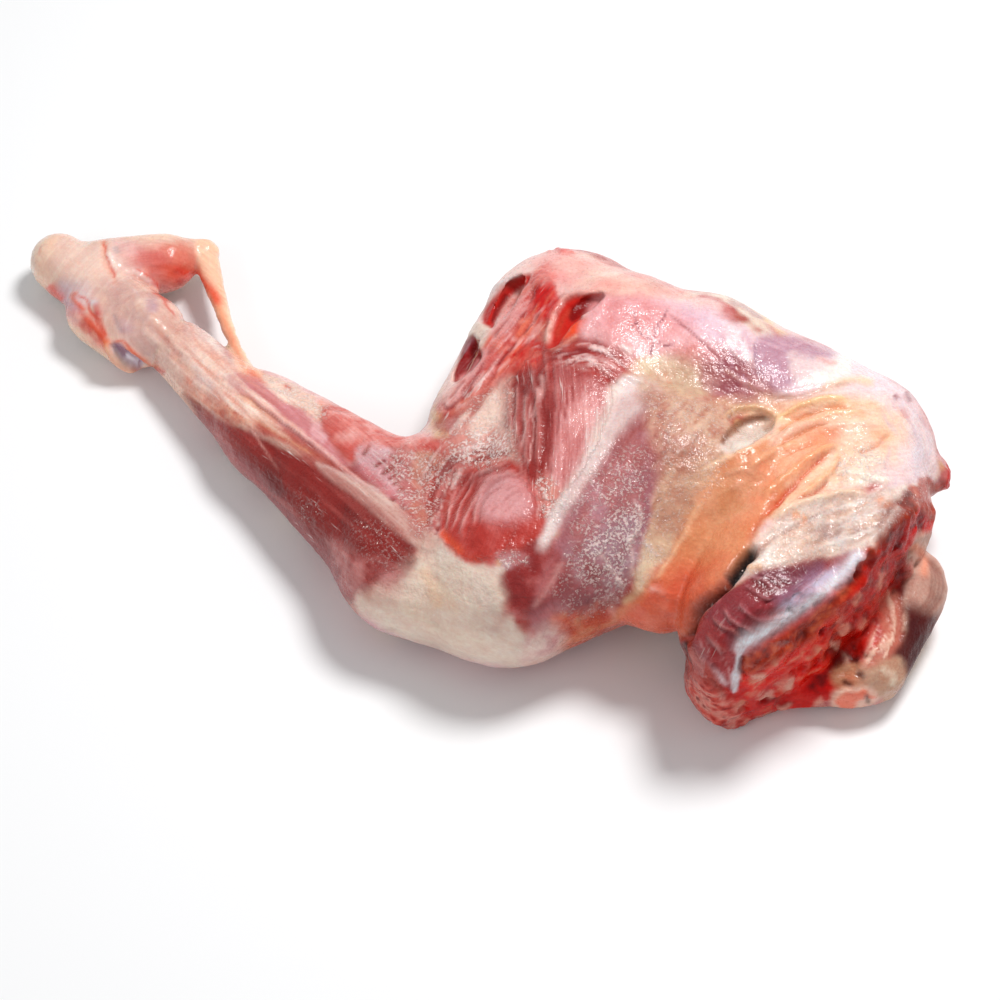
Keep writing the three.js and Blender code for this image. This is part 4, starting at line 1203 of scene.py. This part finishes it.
# Painted shadow again inside the hollow's upper rim and at its right end.
streak("719,444 732,427 752,417 772,416", (142, 98, 76), 2.2, 0.85, 1.2, height=-0.6)
streak("762,428 774,420", (170, 130, 108), 3.5, 0.6, 1.5)
streak("700,474 724,458 750,446 776,434", (242, 206, 176), 2.6, 0.8, 2.0, height=0.9)
strands("728,332 752,334 762,380 744,382 720,350", "740,330 744,360 756,384", (206, 160, 174),
    spacing=5, length=14, share=0.35, strength=0.6, height=-0.4, seed=133)
strands("884,404 912,400 934,450 928,480 890,484", "900,404 916,440 908,484", (214, 190, 198),
    spacing=7, length=30, share=0.35, strength=0.5, height=-0.5, seed=134)
strands("650,404 706,404 716,446 690,482 660,470", "712,404 686,436 660,476", (176, 112, 90), spacing=5,
    length=16, share=0.25, soft=10, strength=0.35, height=-0.3, seed=135)
strands("650,404 706,404 716,446 690,482 660,470", "712,404 686,436 660,476", (232, 206, 184),
    spacing=4, length=12, share=0.25, soft=10, strength=0.3, height=0.3, seed=136)
glaze("752,572 790,562 826,556 812,576 784,596 760,596", (0.74, 0.62, 0.62), 6)
glaze("760,545 800,510 880,496 890,520 840,548 790,562", (0.9, 0.86, 0.86), 10)
for vein in ("634,308 637,322 641,334 654,342", "668,306 664,318 656,328 654,342",
             "654,342 651,350 650,358", "654,343 664,346 676,344", "637,322 630,328"):
    streak(vein, (150, 84, 96), 0.9, 0.85, 1.5, height=-0.2)
streak("668,312 684,326 704,344 722,360", (176, 100, 104), 1.3, 0.7, 1.5, height=-0.5)
glaze("540,260 620,280 700,320 620,340 540,320 480,380 470,360", (0.95, 0.82, 0.84), 12)
print("rump and flank glazed")

# %% Sink the cleft
# The cleft is a deep sunk groove; its dark red, its black and the near-black red below them are painted
# shade.
streak("758,545 750,552 738,566 726,582 710,596 696,608 688,626 684,646", (84, 16, 10), 5.2, 1.0, 1.2,
    height=-9.0, taper=0.08, shine=0.6)
streak("754,546 744,556 734,568 724,580", CLEFT_SHADOW, 4.4, 1.0, 1.0, taper=0.12, shine=0.7)
streak("716,592 704,604 696,618 690,636", (60, 8, 8), 3.4, 0.7, 1.5)
print("cleft sunk, deepest mark", lift.min().round(4))

# %% Mark the sawn face and its edges
patchwork("682,660 700,676 716,690 732,700 744,672 778,650 812,640 846,650 852,690 800,712 740,730 "
    "702,720", [(140, 6, 6), (214, 18, 10), (232, 50, 34), (226, 150, 126)], 9, soft=4, ragged=4,
    strength=0.95, height=0.6, shine=0.16, seed=92, fibrous=0.6, bared=1.0)
patchwork("846,640 850,590 880,556 906,530 908,580 890,640 866,660",
    [(96, 4, 6), (176, 12, 10), (206, 40, 28)], 9, soft=5, ragged=4, strength=0.85, shine=0.16, seed=93,
    bared=1.0)
area("684,656 696,640 716,672 738,690 760,690 780,676 800,690 830,690 850,694 830,708 790,720 740,728 "
    "700,706", (132, 14, 12), soft=8, ragged=6, strength=0.25)
area("886,560 900,556 908,580 900,640 884,620 880,585", (98, 14, 16), soft=6, ragged=4, strength=0.85,
    height=-2.5)
area("830,650 850,634 860,650 850,674 834,672", (96, 20, 20), soft=5, ragged=3, strength=0.8,
    height=-2.5)
streak("740,684 770,660 800,632 832,606 862,578 888,548 904,520", (120, 22, 24), 4, 0.7, 2, height=-1.4)
streak("736,668 752,652 780,628 812,602", (112, 30, 28), 4, 0.6, 2, height=-1.2)
patchwork("738,658 758,650 786,628 812,611 834,593 857,564 875,532 893,505 910,486 926,492 903,530 "
    "876,574 846,602 822,625 796,646 768,662 744,674", [(120, 34, 20), (176, 62, 36), (206, 104, 68)],
    4, soft=4, ragged=4, strength=0.9, height=0.6, shine=0.42, seed=84)
streak("864,546 848,568 828,586 806,603 782,618 760,634 742,646 736,656", (232, 228, 234), 7.0, 1.0,
    1.5, height=0.8, taper=0.06, shine=0.25)
streak("846,560 822,580 798,598 772,614", (204, 202, 224), 5.0, 0.7, 2.0, taper=0.25)
streak("900,506 884,526 868,546", (238, 222, 210), 5.0, 0.9, 2.0, height=0.6, taper=0.08)
area("736,644 742,648 740,660 741,672 737,687 732,692 731,680 735,664", (228, 222, 228), soft=2,
    ragged=1.5, strength=0.95, height=0.9, shine=0.25)
strands("700,640 728,650 736,672 730,686 712,668", "712,640 726,664 732,688", (216, 160, 160),
    spacing=4, length=30, share=0.35, soft=4, strength=0.6, height=0.3, seed=121)
streak("712,668 720,678 728,686", (226, 196, 200), 3.0, 0.8, 2.0, height=0.5)
streak("742,654 740,668 746,676", (110, 20, 16), 2.6, 0.8, 1.5, height=-1.0)
flecks = [((757, 676), (9, 4)), ((784, 682), (7, 6)), ((784, 705), (6, 5)), ((737, 706), (5, 4)),
          ((842, 619), (6, 4)),
          ((886, 580), (5, 8)), ((860, 596), (5, 3)), ((880, 614), (3, 5)), ((766, 694), (8, 3)),
          ((836, 646), (4, 3)),
          ((742, 720), (4, 3)), ((820, 704), (7, 3)), ((716, 696), (3, 4)), ((846, 662), (3, 6)),
          ((870, 586), (3, 6))]
for (x, y), (wide, high) in flecks:
    area(
        [(x - wide, y), (x, y - high), (x + wide, y - 0.5 * high), (x + 0.6 * wide, y + high),
         (x - 0.5 * wide, y + high)],
        (222, 172, 156), soft=3.5, ragged=7, strength=0.85, height=0.7, shine=0.25, fibrous=0.1)
for start, end in (((790, 660), (776, 700)), ((812, 642), (806, 676)), ((856, 608), (850, 640)),
                   ((830, 630), (820, 664))):
    streak([start, end], (214, 88, 72), 3, 0.55, 2, height=1.0)
area("832,672 850,662 872,664 876,680 860,694 838,690", (206, 160, 128), soft=4, ragged=3, strength=0.8,
    height=0.8)
for spot in ((850, 656), (865, 656), (844, 682), (858, 674)):
    streak([spot, (spot[0] + 5, spot[1] + 3)], (92, 36, 30), 3.0, 0.85, 1.5, taper=0, height=-1.2)
area("692,702 712,708 740,722 790,716 836,704 820,722 760,736 700,722", (186, 60, 48), soft=4, ragged=5,
    strength=0.5)
# The near-black sunk line is painted shade where the cleft runs on down the edge of the sawn face.
streak("682,640 684,656 692,672", (30, 10, 10), 3.2, 0.9, 1, height=-2)
patchwork("684,650 700,656 722,690 720,712 700,706 688,680",
    [(110, 20, 20), (168, 60, 52), (196, 110, 100)], 6, soft=4, ragged=3, strength=0.85, seed=94)
strands("684,646 706,660 726,694 716,714 696,704", "684,650 700,690 704,720", (196, 100, 92), spacing=5,
    length=24, share=0.45, strength=0.7, height=1.0, seed=50)
patchwork("838,600 858,588 876,600 866,640 846,650 832,630",
    [(190, 30, 20), (218, 96, 72), (120, 12, 12)], 6, soft=8, ragged=6, strength=0.6, seed=122)
patchwork("686,676 704,684 730,700 742,724 712,722 696,706",
    [(150, 30, 26), (214, 96, 84), (226, 160, 148), (120, 16, 16)], 5, soft=5, ragged=6, strength=0.85,
    height=1.2, seed=123)
print("sawn face marked with", len(flecks), "flecks of gristle")

# %% [markdown]
# ## The fold beyond the sawn end
#
# A fold of belly fat lies at the far right, below the fascia of the rump. Its upper part is cream
# with fine rings, its lower part is smooth and purple brown, and it ends in a torn orange tip.

# %% Mark the fold
area("914,538 930,532 946,548 950,600 938,640 908,650 902,612 910,570", (206, 168, 154), soft=4,
    ragged=1.5, shine=0.4, bared=1.0)
for shift in (0, 7, 14, 21):
    streak(
        [(916 + shift * 0.5, 552), (930 + shift * 0.6, 566 + shift * 0.6),
         (930 + shift * 0.4, 596 + shift * 0.3), (912, 616 + shift * 0.6)],
        (160, 116, 104), 1.8, 0.7, 0.8, height=-0.6)
streak("914,542 924,560 922,580", (238, 158, 128), 5, 0.7, 2)
area("902,604 924,610 942,618 944,650 926,680 896,690 880,676 892,640", (104, 50, 48), soft=10,
    ragged=3, shine=0.3, bared=1.0)
streak("910,616 918,640 912,668", (84, 36, 40), 7, 0.6, 2)
streak("938,610 942,636 934,662 916,684", (176, 120, 114), 3, 0.6, 1)
area("866,664 886,656 902,660 904,684 884,698 866,694", (204, 164, 140), soft=5, ragged=3)
area("836,690 860,686 876,692 870,708 850,714 832,710", (236, 196, 178), soft=4, ragged=3, height=0.4)
area("836,700 846,692 862,693 870,699 856,704 858,712 844,714 838,708", (240, 128, 98), soft=3,
    ragged=6, strength=0.9, height=0.8)
streak("866,696 868,702", (60, 20, 20), 2.2, 0.8, 1.0, taper=0, height=-1.0)
streak("880,668 892,676 890,688", (240, 226, 206), 4, 0.6, 2, height=0.5)
area("918,478 934,480 944,500 942,524 930,520 920,500", (182, 92, 78), soft=3, ragged=2, height=0.4)
area("878,600 896,592 904,620 896,650 874,668 862,664 880,636", (206, 130, 112), soft=5, ragged=4,
    strength=0.85)
strands("878,596 900,590 902,640 866,676", "892,592 892,630 866,680", (238, 206, 186), spacing=4,
    length=26, share=0.45, strength=0.8, height=0.8, seed=51)
patchwork("848,604 860,572 882,544 900,526 906,556 892,596 874,634 852,654 840,638",
    [(112, 4, 6), (182, 12, 10), (206, 34, 24), (150, 8, 8)], 8, soft=5, ragged=5, strength=0.85,
    shine=0.2, seed=151, bared=1.0)
for start, end in (((862, 590), (854, 606)), ((882, 572), (880, 592)), ((846, 622), (842, 634)),
                   ((866, 618), (858, 630))):
    streak([start, end], (222, 150, 130), 3.0, 0.8, 4, height=0.7)
glaze("884,506 906,492 914,512 900,548 884,552 874,534", (0.62, 0.5, 0.5), 5)
print("fold marked")

# %% [markdown]
# ## Lifting the marks into relief
#
# Each mark also left a height. The skin is moved along its own direction by that height, after one
# light smoothing that keeps a ragged mark from turning into spikes, and with a little fine
# unevenness everywhere, because no part of a carcass is machined.

# %% Move the skin
FLOOR_CLEAR = 0.2 * MM
unevenness = 0.35 * rough_noise(spots, 9 * MM, 3, 60) + 0.25 * frost * rough_noise(spots, 4 * MM, 2, 63)
lobes = 1.6 * rough_noise(flow, 30 * MM, 3, 70) - 2.2 * ramp(0.16, 0.0, abs(noise(flow, 34 * MM, 75)))
unevenness += (1 - seen) * ramp(0.0, 0.06, down_shank) * lobes
height = spread(lift, 1, 0.3) + unevenness * MM * ramp(0, 6 * MM, spots[:, 2])
shaped = spots + ahead * height[:, None]
shaped[:, 2] = np.maximum(shaped[:, 2], np.where(spots[:, 2] < FLOOR_CLEAR, spots[:, 2], FLOOR_CLEAR))
print("relief from", (height.min() / MM).round(2), "to", (height.max() / MM).round(2), "mm")

# %% [markdown]
# ## Back to four pieces
#
# The skin is one surface, but the meat, the hock, the tendon and the hip bone are things of their
# own. Each face goes to the solid whose surface lies nearest. The border of a piece is turned inwards
# like a hem and closed there, so that each piece is a closed body, and since the pieces share the
# border's points, no seam shows.

# %% Sort the faces by solid
NODES = ["leg_meat", "shank_bone", "heel_tendon", "hip_bone"]
face_centres = spots[triangles].mean(1)
surfaces = [BVHTree.FromPolygons(p.tolist(), t.tolist()) for p, t in (merged_copy(n, 0) for n in NODES)]
reach_of = np.array([[tree_of.find_nearest(c)[3] for tree_of in surfaces] for c in face_centres.tolist()])
owner = reach_of.argmin(1)
print("faces by node:", dict(zip(NODES, np.bincount(owner).tolist())))

# %% Cut the skin into closed pieces
HEM = 2.5 * MM


def keep_values(mesh, name, *columns):
    """Stores four numbers at each point of a mesh, where a shader can read them."""
    layer = mesh.attributes.new(name, "FLOAT_COLOR", "POINT")
    layer.data.foreach_set("color", np.column_stack(columns).ravel())


def hem(mesh):
    """Turns the open border of a mesh inwards and fills it, so that the body is closed."""
    shell = bmesh.new()
    shell.from_mesh(mesh)
    shell.normal_update()
    border = [edge for edge in shell.edges if edge.is_boundary]
    inwards = {vertex: -vertex.normal.copy() for edge in border for vertex in edge.verts}
    for edge in border:
        edge.smooth = False
    turned = bmesh.ops.extrude_edge_only(shell, edges=border)["geom"]
    for vertex in (item for item in turned if isinstance(item, bmesh.types.BMVert)):
        root = next(v for edge in vertex.link_edges for v in edge.verts if v in inwards)
        vertex.co += HEM * inwards[root]
    rim = [edge for edge in shell.edges if edge.is_boundary]
    filled = bmesh.ops.holes_fill(shell, edges=rim, sides=0)["faces"]
    bmesh.ops.triangulate(shell, faces=filled)
    bmesh.ops.recalc_face_normals(shell, faces=shell.faces)
    shell.to_mesh(mesh)
    shell.free()


def closed_piece(name, faces):
    used, order = np.unique(faces, return_inverse=True)
    mesh = mesh_from(name, shaped[used], order.reshape(-1, 3))
    keep_values(mesh, "tone", tone[used], np.ones(len(used)))
    keep_values(mesh, "finish", gloss[used], frost[used], veil[used], fibre[used])
    keep_values(mesh, "flow", flow[used], np.ones(len(used)))
    hem(mesh)
    mesh.shade_smooth()
    piece = bpy.data.objects.new(name, mesh)
    bpy.context.scene.collection.objects.link(piece)
    mesh.calc_loop_triangles()
    print(name, "has", len(mesh.loop_triangles), "triangles")
    return piece, used


PIECE_NAMES = {"leg_meat": "meat", "shank_bone": "hock", "heel_tendon": "tendon", "hip_bone": "sawn_bone"}
pieces, kept = {}, {}
for number, node in enumerate(NODES):
    pieces[node], kept[node] = closed_piece(PIECE_NAMES[node], triangles[owner == number])

# %% [markdown]
# ## Wet flesh
#
# The colour comes from the marks. The shader adds what is too fine for the mesh: a mottling of the
# fibres, crumbs of frost on dried membrane, and small bumps. Flesh lets some light in, which is red
# where it comes out again, and a film of moisture lies over it, so a thin clear coat gives the sharp
# highlights while the flesh below stays duller.

# %% Make the flesh material
def flesh(name, clear_coat, mirror, under_light, bump_height, grain_size, mottle):
    """A material that reads the marks and adds fine mottling, frost, moisture and bumps."""
    material = bpy.data.materials.new(name)
    material.use_nodes = True
    tree_of = material.node_tree
    nodes, links = tree_of.nodes, tree_of.links
    shader = nodes["Principled BSDF"]

    def node(kind, **settings):
        made = nodes.new(kind)
        for key, value in settings.items():
            setattr(made, key, value)
        return made

    def maths(operation, a, b):
        made = node("ShaderNodeMath", operation=operation)
        for socket, value in zip(made.inputs, (a, b)):
            if isinstance(value, bpy.types.NodeSocket):
                links.new(value, socket)
            else:
                socket.default_value = value
        return made.outputs[0]

    def blend(a, b, share, kind="MIX"):
        made = node("ShaderNodeMix", data_type="RGBA", blend_type=kind)
        for socket, value in ((made.inputs["Factor"], share), (made.inputs[6], a), (made.inputs[7], b)):
            if isinstance(value, bpy.types.NodeSocket):
                links.new(value, socket)
            else:
                socket.default_value = value
        return made.outputs[2]

    def lumps(place, size, detail=3.0, roughness=0.6):
        made = node("ShaderNodeTexNoise")
        made.inputs["Scale"].default_value = 1 / size
        made.inputs["Detail"].default_value = detail
        made.inputs["Roughness"].default_value = roughness
        links.new(place, made.inputs["Vector"])
        return made.outputs[0]

    def span(value, low, high, start=0.0, end=1.0):
        made = node("ShaderNodeMapRange", interpolation_type="SMOOTHSTEP")
        for key, number in (("From Min", low), ("From Max", high), ("To Min", start), ("To Max", end)):
            made.inputs[key].default_value = number
        links.new(value, made.inputs["Value"])
        return made.outputs[0]

    coordinates = node("ShaderNodeTexCoord").outputs["Object"]
    flow_of = node("ShaderNodeAttribute", attribute_name="flow").outputs["Vector"]
    tone_of = node("ShaderNodeAttribute", attribute_name="tone").outputs["Color"]
    finish = node("ShaderNodeAttribute", attribute_name="finish")
    parts = node("ShaderNodeSeparateColor")
    links.new(finish.outputs["Color"], parts.inputs[0])
    shine, frosty, veiled = parts.outputs
    fibrous = finish.outputs["Alpha"]

    coarse = lumps(coordinates, 8 * MM)
    fine = lumps(coordinates, grain_size)
    threads = lumps(flow_of, 1.5 * MM, 2.0)
    ropes = lumps(flow_of, 4.5 * MM, 2.0)
    dim = blend((0.94, 0.82, 0.8, 1), (1.06, 1.12, 1.12, 1), span(coarse, 0.3, 0.7))
    colour = blend(tone_of, dim, mottle, "MULTIPLY")
    speckle = blend((0.95, 0.84, 0.82, 1), (1.04, 1.08, 1.08, 1), span(fine, 0.3, 0.7))
    colour = blend(colour, speckle, mottle, "MULTIPLY")
    pull = maths("ADD", maths("MULTIPLY", threads, 0.6), maths("MULTIPLY", ropes, 0.5))
    thread_light = blend((0.84, 0.64, 0.62, 1), (1.14, 1.3, 1.3, 1), span(pull, 0.36, 0.74))
    colour = blend(colour, thread_light, maths("MULTIPLY", fibrous, 0.8), "MULTIPLY")
    wisps = maths("ADD", maths("MULTIPLY", threads, 0.5),
                  maths("MULTIPLY", lumps(flow_of, 7 * MM, 4.0, 0.7), 0.5))
    wisps = span(maths("ADD", wisps, maths("MULTIPLY", veiled, 0.5)), 0.72, 0.84)
    colour = blend(colour, (0.78, 0.6, 0.56, 1), maths("MULTIPLY", wisps, 0.75))
    crumbs = maths("ADD", lumps(coordinates, 1.5 * MM, 3.0, 0.7), maths("MULTIPLY", frosty, 0.1))
    crumbs = span(crumbs, 0.565, 0.61)
    clusters = span(lumps(coordinates, 9 * MM, 2.0), 0.36, 0.5)
    crumbs = maths("MULTIPLY", maths("MULTIPLY", crumbs, clusters), frosty)
    colour = blend(colour, (0.86, 0.7, 0.65, 1), maths("MULTIPLY", crumbs, 0.85))
    links.new(colour, shader.inputs["Base Color"])

    roughness = maths("ADD", shine, span(fine, 0.3, 0.7, -0.06, 0.12))
    links.new(maths("ADD", roughness, maths("MULTIPLY", crumbs, 0.3)), shader.inputs["Roughness"])

    height_of = maths("ADD", maths("MULTIPLY", coarse, 1.6), maths("MULTIPLY", fine, 0.35))
    height_of = maths("ADD", height_of, maths("MULTIPLY", pull, maths("MULTIPLY", fibrous, 0.9)))
    height_of = maths("ADD", height_of, maths("ADD", maths("MULTIPLY", crumbs, 1.0),
                                              maths("MULTIPLY", wisps, 0.4)))
    bump = node("ShaderNodeBump")
    bump.inputs["Strength"].default_value = 0.8
    bump.inputs["Distance"].default_value = bump_height
    links.new(height_of, bump.inputs["Height"])
    links.new(bump.outputs[0], shader.inputs["Normal"])
    links.new(bump.outputs[0], shader.inputs["Coat Normal"])

    shader.inputs["Specular IOR Level"].default_value = mirror
    shader.inputs["Coat Weight"].default_value = clear_coat
    shader.inputs["Coat Roughness"].default_value = 0.07
    shader.inputs["Subsurface Weight"].default_value = under_light
    shader.inputs["Subsurface Radius"].default_value = (1.0, 0.35, 0.22)
    shader.inputs["Subsurface Scale"].default_value = 2.2 * MM
    return material


finishes = {
    "leg_meat": flesh("wet_meat", 0.26, 0.28, 0.22, 0.8 * MM, 2.0 * MM, 0.36),
    "shank_bone": flesh("gristle", 0.25, 0.3, 0.3, 0.4 * MM, 3.0 * MM, 0.22),
    "heel_tendon": flesh("tendon", 0.3, 0.3, 0.3, 0.3 * MM, 3.0 * MM, 0.15),
    "hip_bone": flesh("sawn_bone", 0.05, 0.1, 0.1, 0.9 * MM, 1.3 * MM, 0.9),
}
for node_name, piece in pieces.items():
    piece.data.materials.append(finishes[node_name])

# %% [markdown]
# Sawn meat is drier than membrane and reflects hardly anything of the pale room, which is why its
# red stays so deep. Its faces get a finish of their own.

# %% Finish the sawn faces
meat = pieces["leg_meat"].data
meat.materials.append(flesh("sawn_meat", 0.1, 0.06, 0.08, 0.9 * MM, 1.6 * MM, 0.8))
sawn_at = kept["leg_meat"]
sawn_share = np.zeros(len(meat.vertices))
sawn_share[: len(sawn_at)] = bare[sawn_at]
corner_of = np.empty(len(meat.loops), int)
meat.loops.foreach_get("vertex_index", corner_of)
starts = np.empty(len(meat.polygons), int)
meat.polygons.foreach_get("loop_start", starts)
meat.polygons.foreach_set("material_index", (sawn_share[corner_of[starts]] > 0.5).astype(int))
print("materials:", [material.name for material in finishes.values()])

# %% [markdown]
# ## Crumbs of dried membrane
#
# Where the membrane was torn off and the leg dried in the cold, white crumbs stick to the meat.
# They're hundreds of tiny lumps that follow the surface, which is work for Geometry Nodes: points
# are scattered on the meat, thickest where the frost marks are, and each one carries a flattened
# ball with only a few faces. The tree's sizes are named inputs, and its seed is fixed.

# %% Build the crumb scatter
def crumb_tree(finish):
    """A node tree that turns the meat into crumbs that lie on its frosty places."""
    tree_of = bpy.data.node_groups.new("crumb_scatter", "GeometryNodeTree")
    tree_of.interface.new_socket("Geometry", in_out="INPUT", socket_type="NodeSocketGeometry")
    for name in ("Crumbs per square metre", "Smallest", "Largest"):
        tree_of.interface.new_socket(name, in_out="INPUT", socket_type="NodeSocketFloat")
    tree_of.interface.new_socket("Seed", in_out="INPUT", socket_type="NodeSocketInt")
    tree_of.interface.new_socket("Geometry", in_out="OUTPUT", socket_type="NodeSocketGeometry")
    nodes, links = tree_of.nodes, tree_of.links

    def node(kind, **settings):
        made = nodes.new(kind)
        for key, value in settings.items():
            setattr(made, key, value)
        return made

    given, result = node("NodeGroupInput"), node("NodeGroupOutput")
    marks_of = node("GeometryNodeInputNamedAttribute", data_type="FLOAT_COLOR")
    marks_of.inputs["Name"].default_value = "finish"
    parts = node("FunctionNodeSeparateColor")
    links.new(marks_of.outputs["Attribute"], parts.inputs[0])
    thick = node("ShaderNodeMath", operation="MULTIPLY")
    links.new(parts.outputs[1], thick.inputs[0])
    links.new(given.outputs["Crumbs per square metre"], thick.inputs[1])
    scatter = node("GeometryNodeDistributePointsOnFaces", distribute_method="RANDOM")
    links.new(given.outputs["Geometry"], scatter.inputs["Mesh"])
    links.new(thick.outputs[0], scatter.inputs["Density"])
    links.new(given.outputs["Seed"], scatter.inputs["Seed"])
    ball = node("GeometryNodeMeshIcoSphere")
    ball.inputs["Radius"].default_value = 1.0
    ball.inputs["Subdivisions"].default_value = 1
    size = node("FunctionNodeRandomValue", data_type="FLOAT")
    links.new(given.outputs["Smallest"], size.inputs[2])
    links.new(given.outputs["Largest"], size.inputs[3])
    links.new(given.outputs["Seed"], size.inputs["Seed"])
    flat = node("ShaderNodeCombineXYZ")
    for socket, share in enumerate((1.3, 0.8, 0.45)):
        flat.inputs[socket].default_value = share
    sized = node("ShaderNodeVectorMath", operation="SCALE")
    links.new(flat.outputs[0], sized.inputs[0])
    links.new(size.outputs[1], sized.inputs["Scale"])
    place = node("GeometryNodeInstanceOnPoints")
    links.new(scatter.outputs["Points"], place.inputs["Points"])
    links.new(scatter.outputs["Rotation"], place.inputs["Rotation"])
    links.new(ball.outputs["Mesh"], place.inputs["Instance"])
    links.new(sized.outputs[0], place.inputs["Scale"])
    real = node("GeometryNodeRealizeInstances")
    paint = node("GeometryNodeSetMaterial")
    paint.inputs["Material"].default_value = finish
    links.new(place.outputs[0], real.inputs[0])
    links.new(real.outputs[0], paint.inputs["Geometry"])
    links.new(paint.outputs[0], result.inputs[0])
    return tree_of


def crumb_finish():
    """Dull, slightly uneven white."""
    material = bpy.data.materials.new("dried_crumbs")
    material.use_nodes = True
    nodes, links = material.node_tree.nodes, material.node_tree.links
    shader = nodes["Principled BSDF"]
    speckle, shades = nodes.new("ShaderNodeTexNoise"), nodes.new("ShaderNodeValToRGB")
    speckle.inputs["Scale"].default_value = 300
    shades.color_ramp.elements[0].color = (0.8, 0.56, 0.5, 1)
    shades.color_ramp.elements[1].color = (0.92, 0.76, 0.7, 1)
    links.new(nodes.new("ShaderNodeTexCoord").outputs["Object"], speckle.inputs["Vector"])
    links.new(speckle.outputs[0], shades.inputs[0])
    links.new(shades.outputs[0], shader.inputs["Base Color"])
    shader.inputs["Roughness"].default_value = 0.45
    return material


print("crumb tree written")

# %% Scatter the crumbs
CRUMBS = {"Crumbs per square metre": 26000.0, "Smallest": 0.18 * MM, "Largest": 0.5 * MM, "Seed": 7}
carrier = bpy.data.objects.new("crumb_carrier", pieces["leg_meat"].data.copy())
bpy.context.scene.collection.objects.link(carrier)
scatter = carrier.modifiers.new("crumbs", "NODES")
scatter.node_group = crumb_tree(crumb_finish())
for socket in scatter.node_group.interface.items_tree:
    if socket.in_out == "INPUT" and socket.name in CRUMBS:
        scatter[socket.identifier] = CRUMBS[socket.name]
crumb_mesh = bpy.data.meshes.new_from_object(carrier.evaluated_get(bpy.context.evaluated_depsgraph_get()))
carrier.modifiers.remove(scatter)
bpy.data.objects.remove(carrier)
crumb_mesh.name = "frost_crumbs"
frost_crumbs = bpy.data.objects.new("frost_crumbs", crumb_mesh)
bpy.context.scene.collection.objects.link(frost_crumbs)
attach(frost_crumbs, "root")
print("crumbs:", len(crumb_mesh.polygons) // 20)

# %% [markdown]
# ## Hand the pieces to the frame
#
# Each piece takes the place of the solid that it was cut from, which is hidden, and rides on the
# one body that the leg has.

# %% Dress the frame
for node_name, piece in pieces.items():
    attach(piece, "root")
    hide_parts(node_name)
print("pieces on the frame:", len(pieces))

# %% [markdown]
# ## Light and floor
#
# A butcher's display is lit from above and behind, which draws a highlight along every ridge. A
# large soft light stands behind the leg at the right, a weaker one fills from the front, and the
# bright surroundings keep the shadows pale.

# %% Light the leg
def softbox(name, place, size, power):
    data = bpy.data.lights.new(name, "AREA")
    data.shape = "DISK"
    data.size = size
    data.energy = power
    light = bpy.data.objects.new(name, data)
    light.location = place
    towards = mathutils.Vector(AIM) - light.location
    light.rotation_euler = towards.to_track_quat("-Z", "Y").to_euler()
    bpy.context.scene.collection.objects.link(light)
    return light


softbox("key", (0.5, 0.4, 1.4), 0.45, 19)
softbox("fill", (-0.9, -0.9, 1.0), 1.0, 4)
world = bpy.data.worlds.new("bright_room")
world.use_nodes = True
world.node_tree.nodes["Background"].inputs[0].default_value = (0.97, 0.98, 1.0, 1)
world.node_tree.nodes["Background"].inputs[1].default_value = 0.42
bpy.context.scene.world = world
bpy.context.scene.view_settings.view_transform = "Standard"
print("two softboxes and a bright room")

# %% Lay the floor
FLOOR_SIZE = 6.0
floor_mesh = bpy.data.meshes.new("floor")
half = FLOOR_SIZE / 2
floor_mesh.from_pydata([(-half, -half, 0), (half, -half, 0), (half, half, 0), (-half, half, 0)], [],
                       [(0, 1, 2, 3)])
floor = bpy.data.objects.new("floor", floor_mesh)
bpy.context.scene.collection.objects.link(floor)
paint = bpy.data.materials.new("pale_floor")
paint.use_nodes = True
paint.node_tree.nodes["Principled BSDF"].inputs["Base Color"].default_value = (0.9, 0.9, 0.9, 1)
paint.node_tree.nodes["Principled BSDF"].inputs["Roughness"].default_value = 0.7
floor_mesh.materials.append(paint)
print("floor laid")
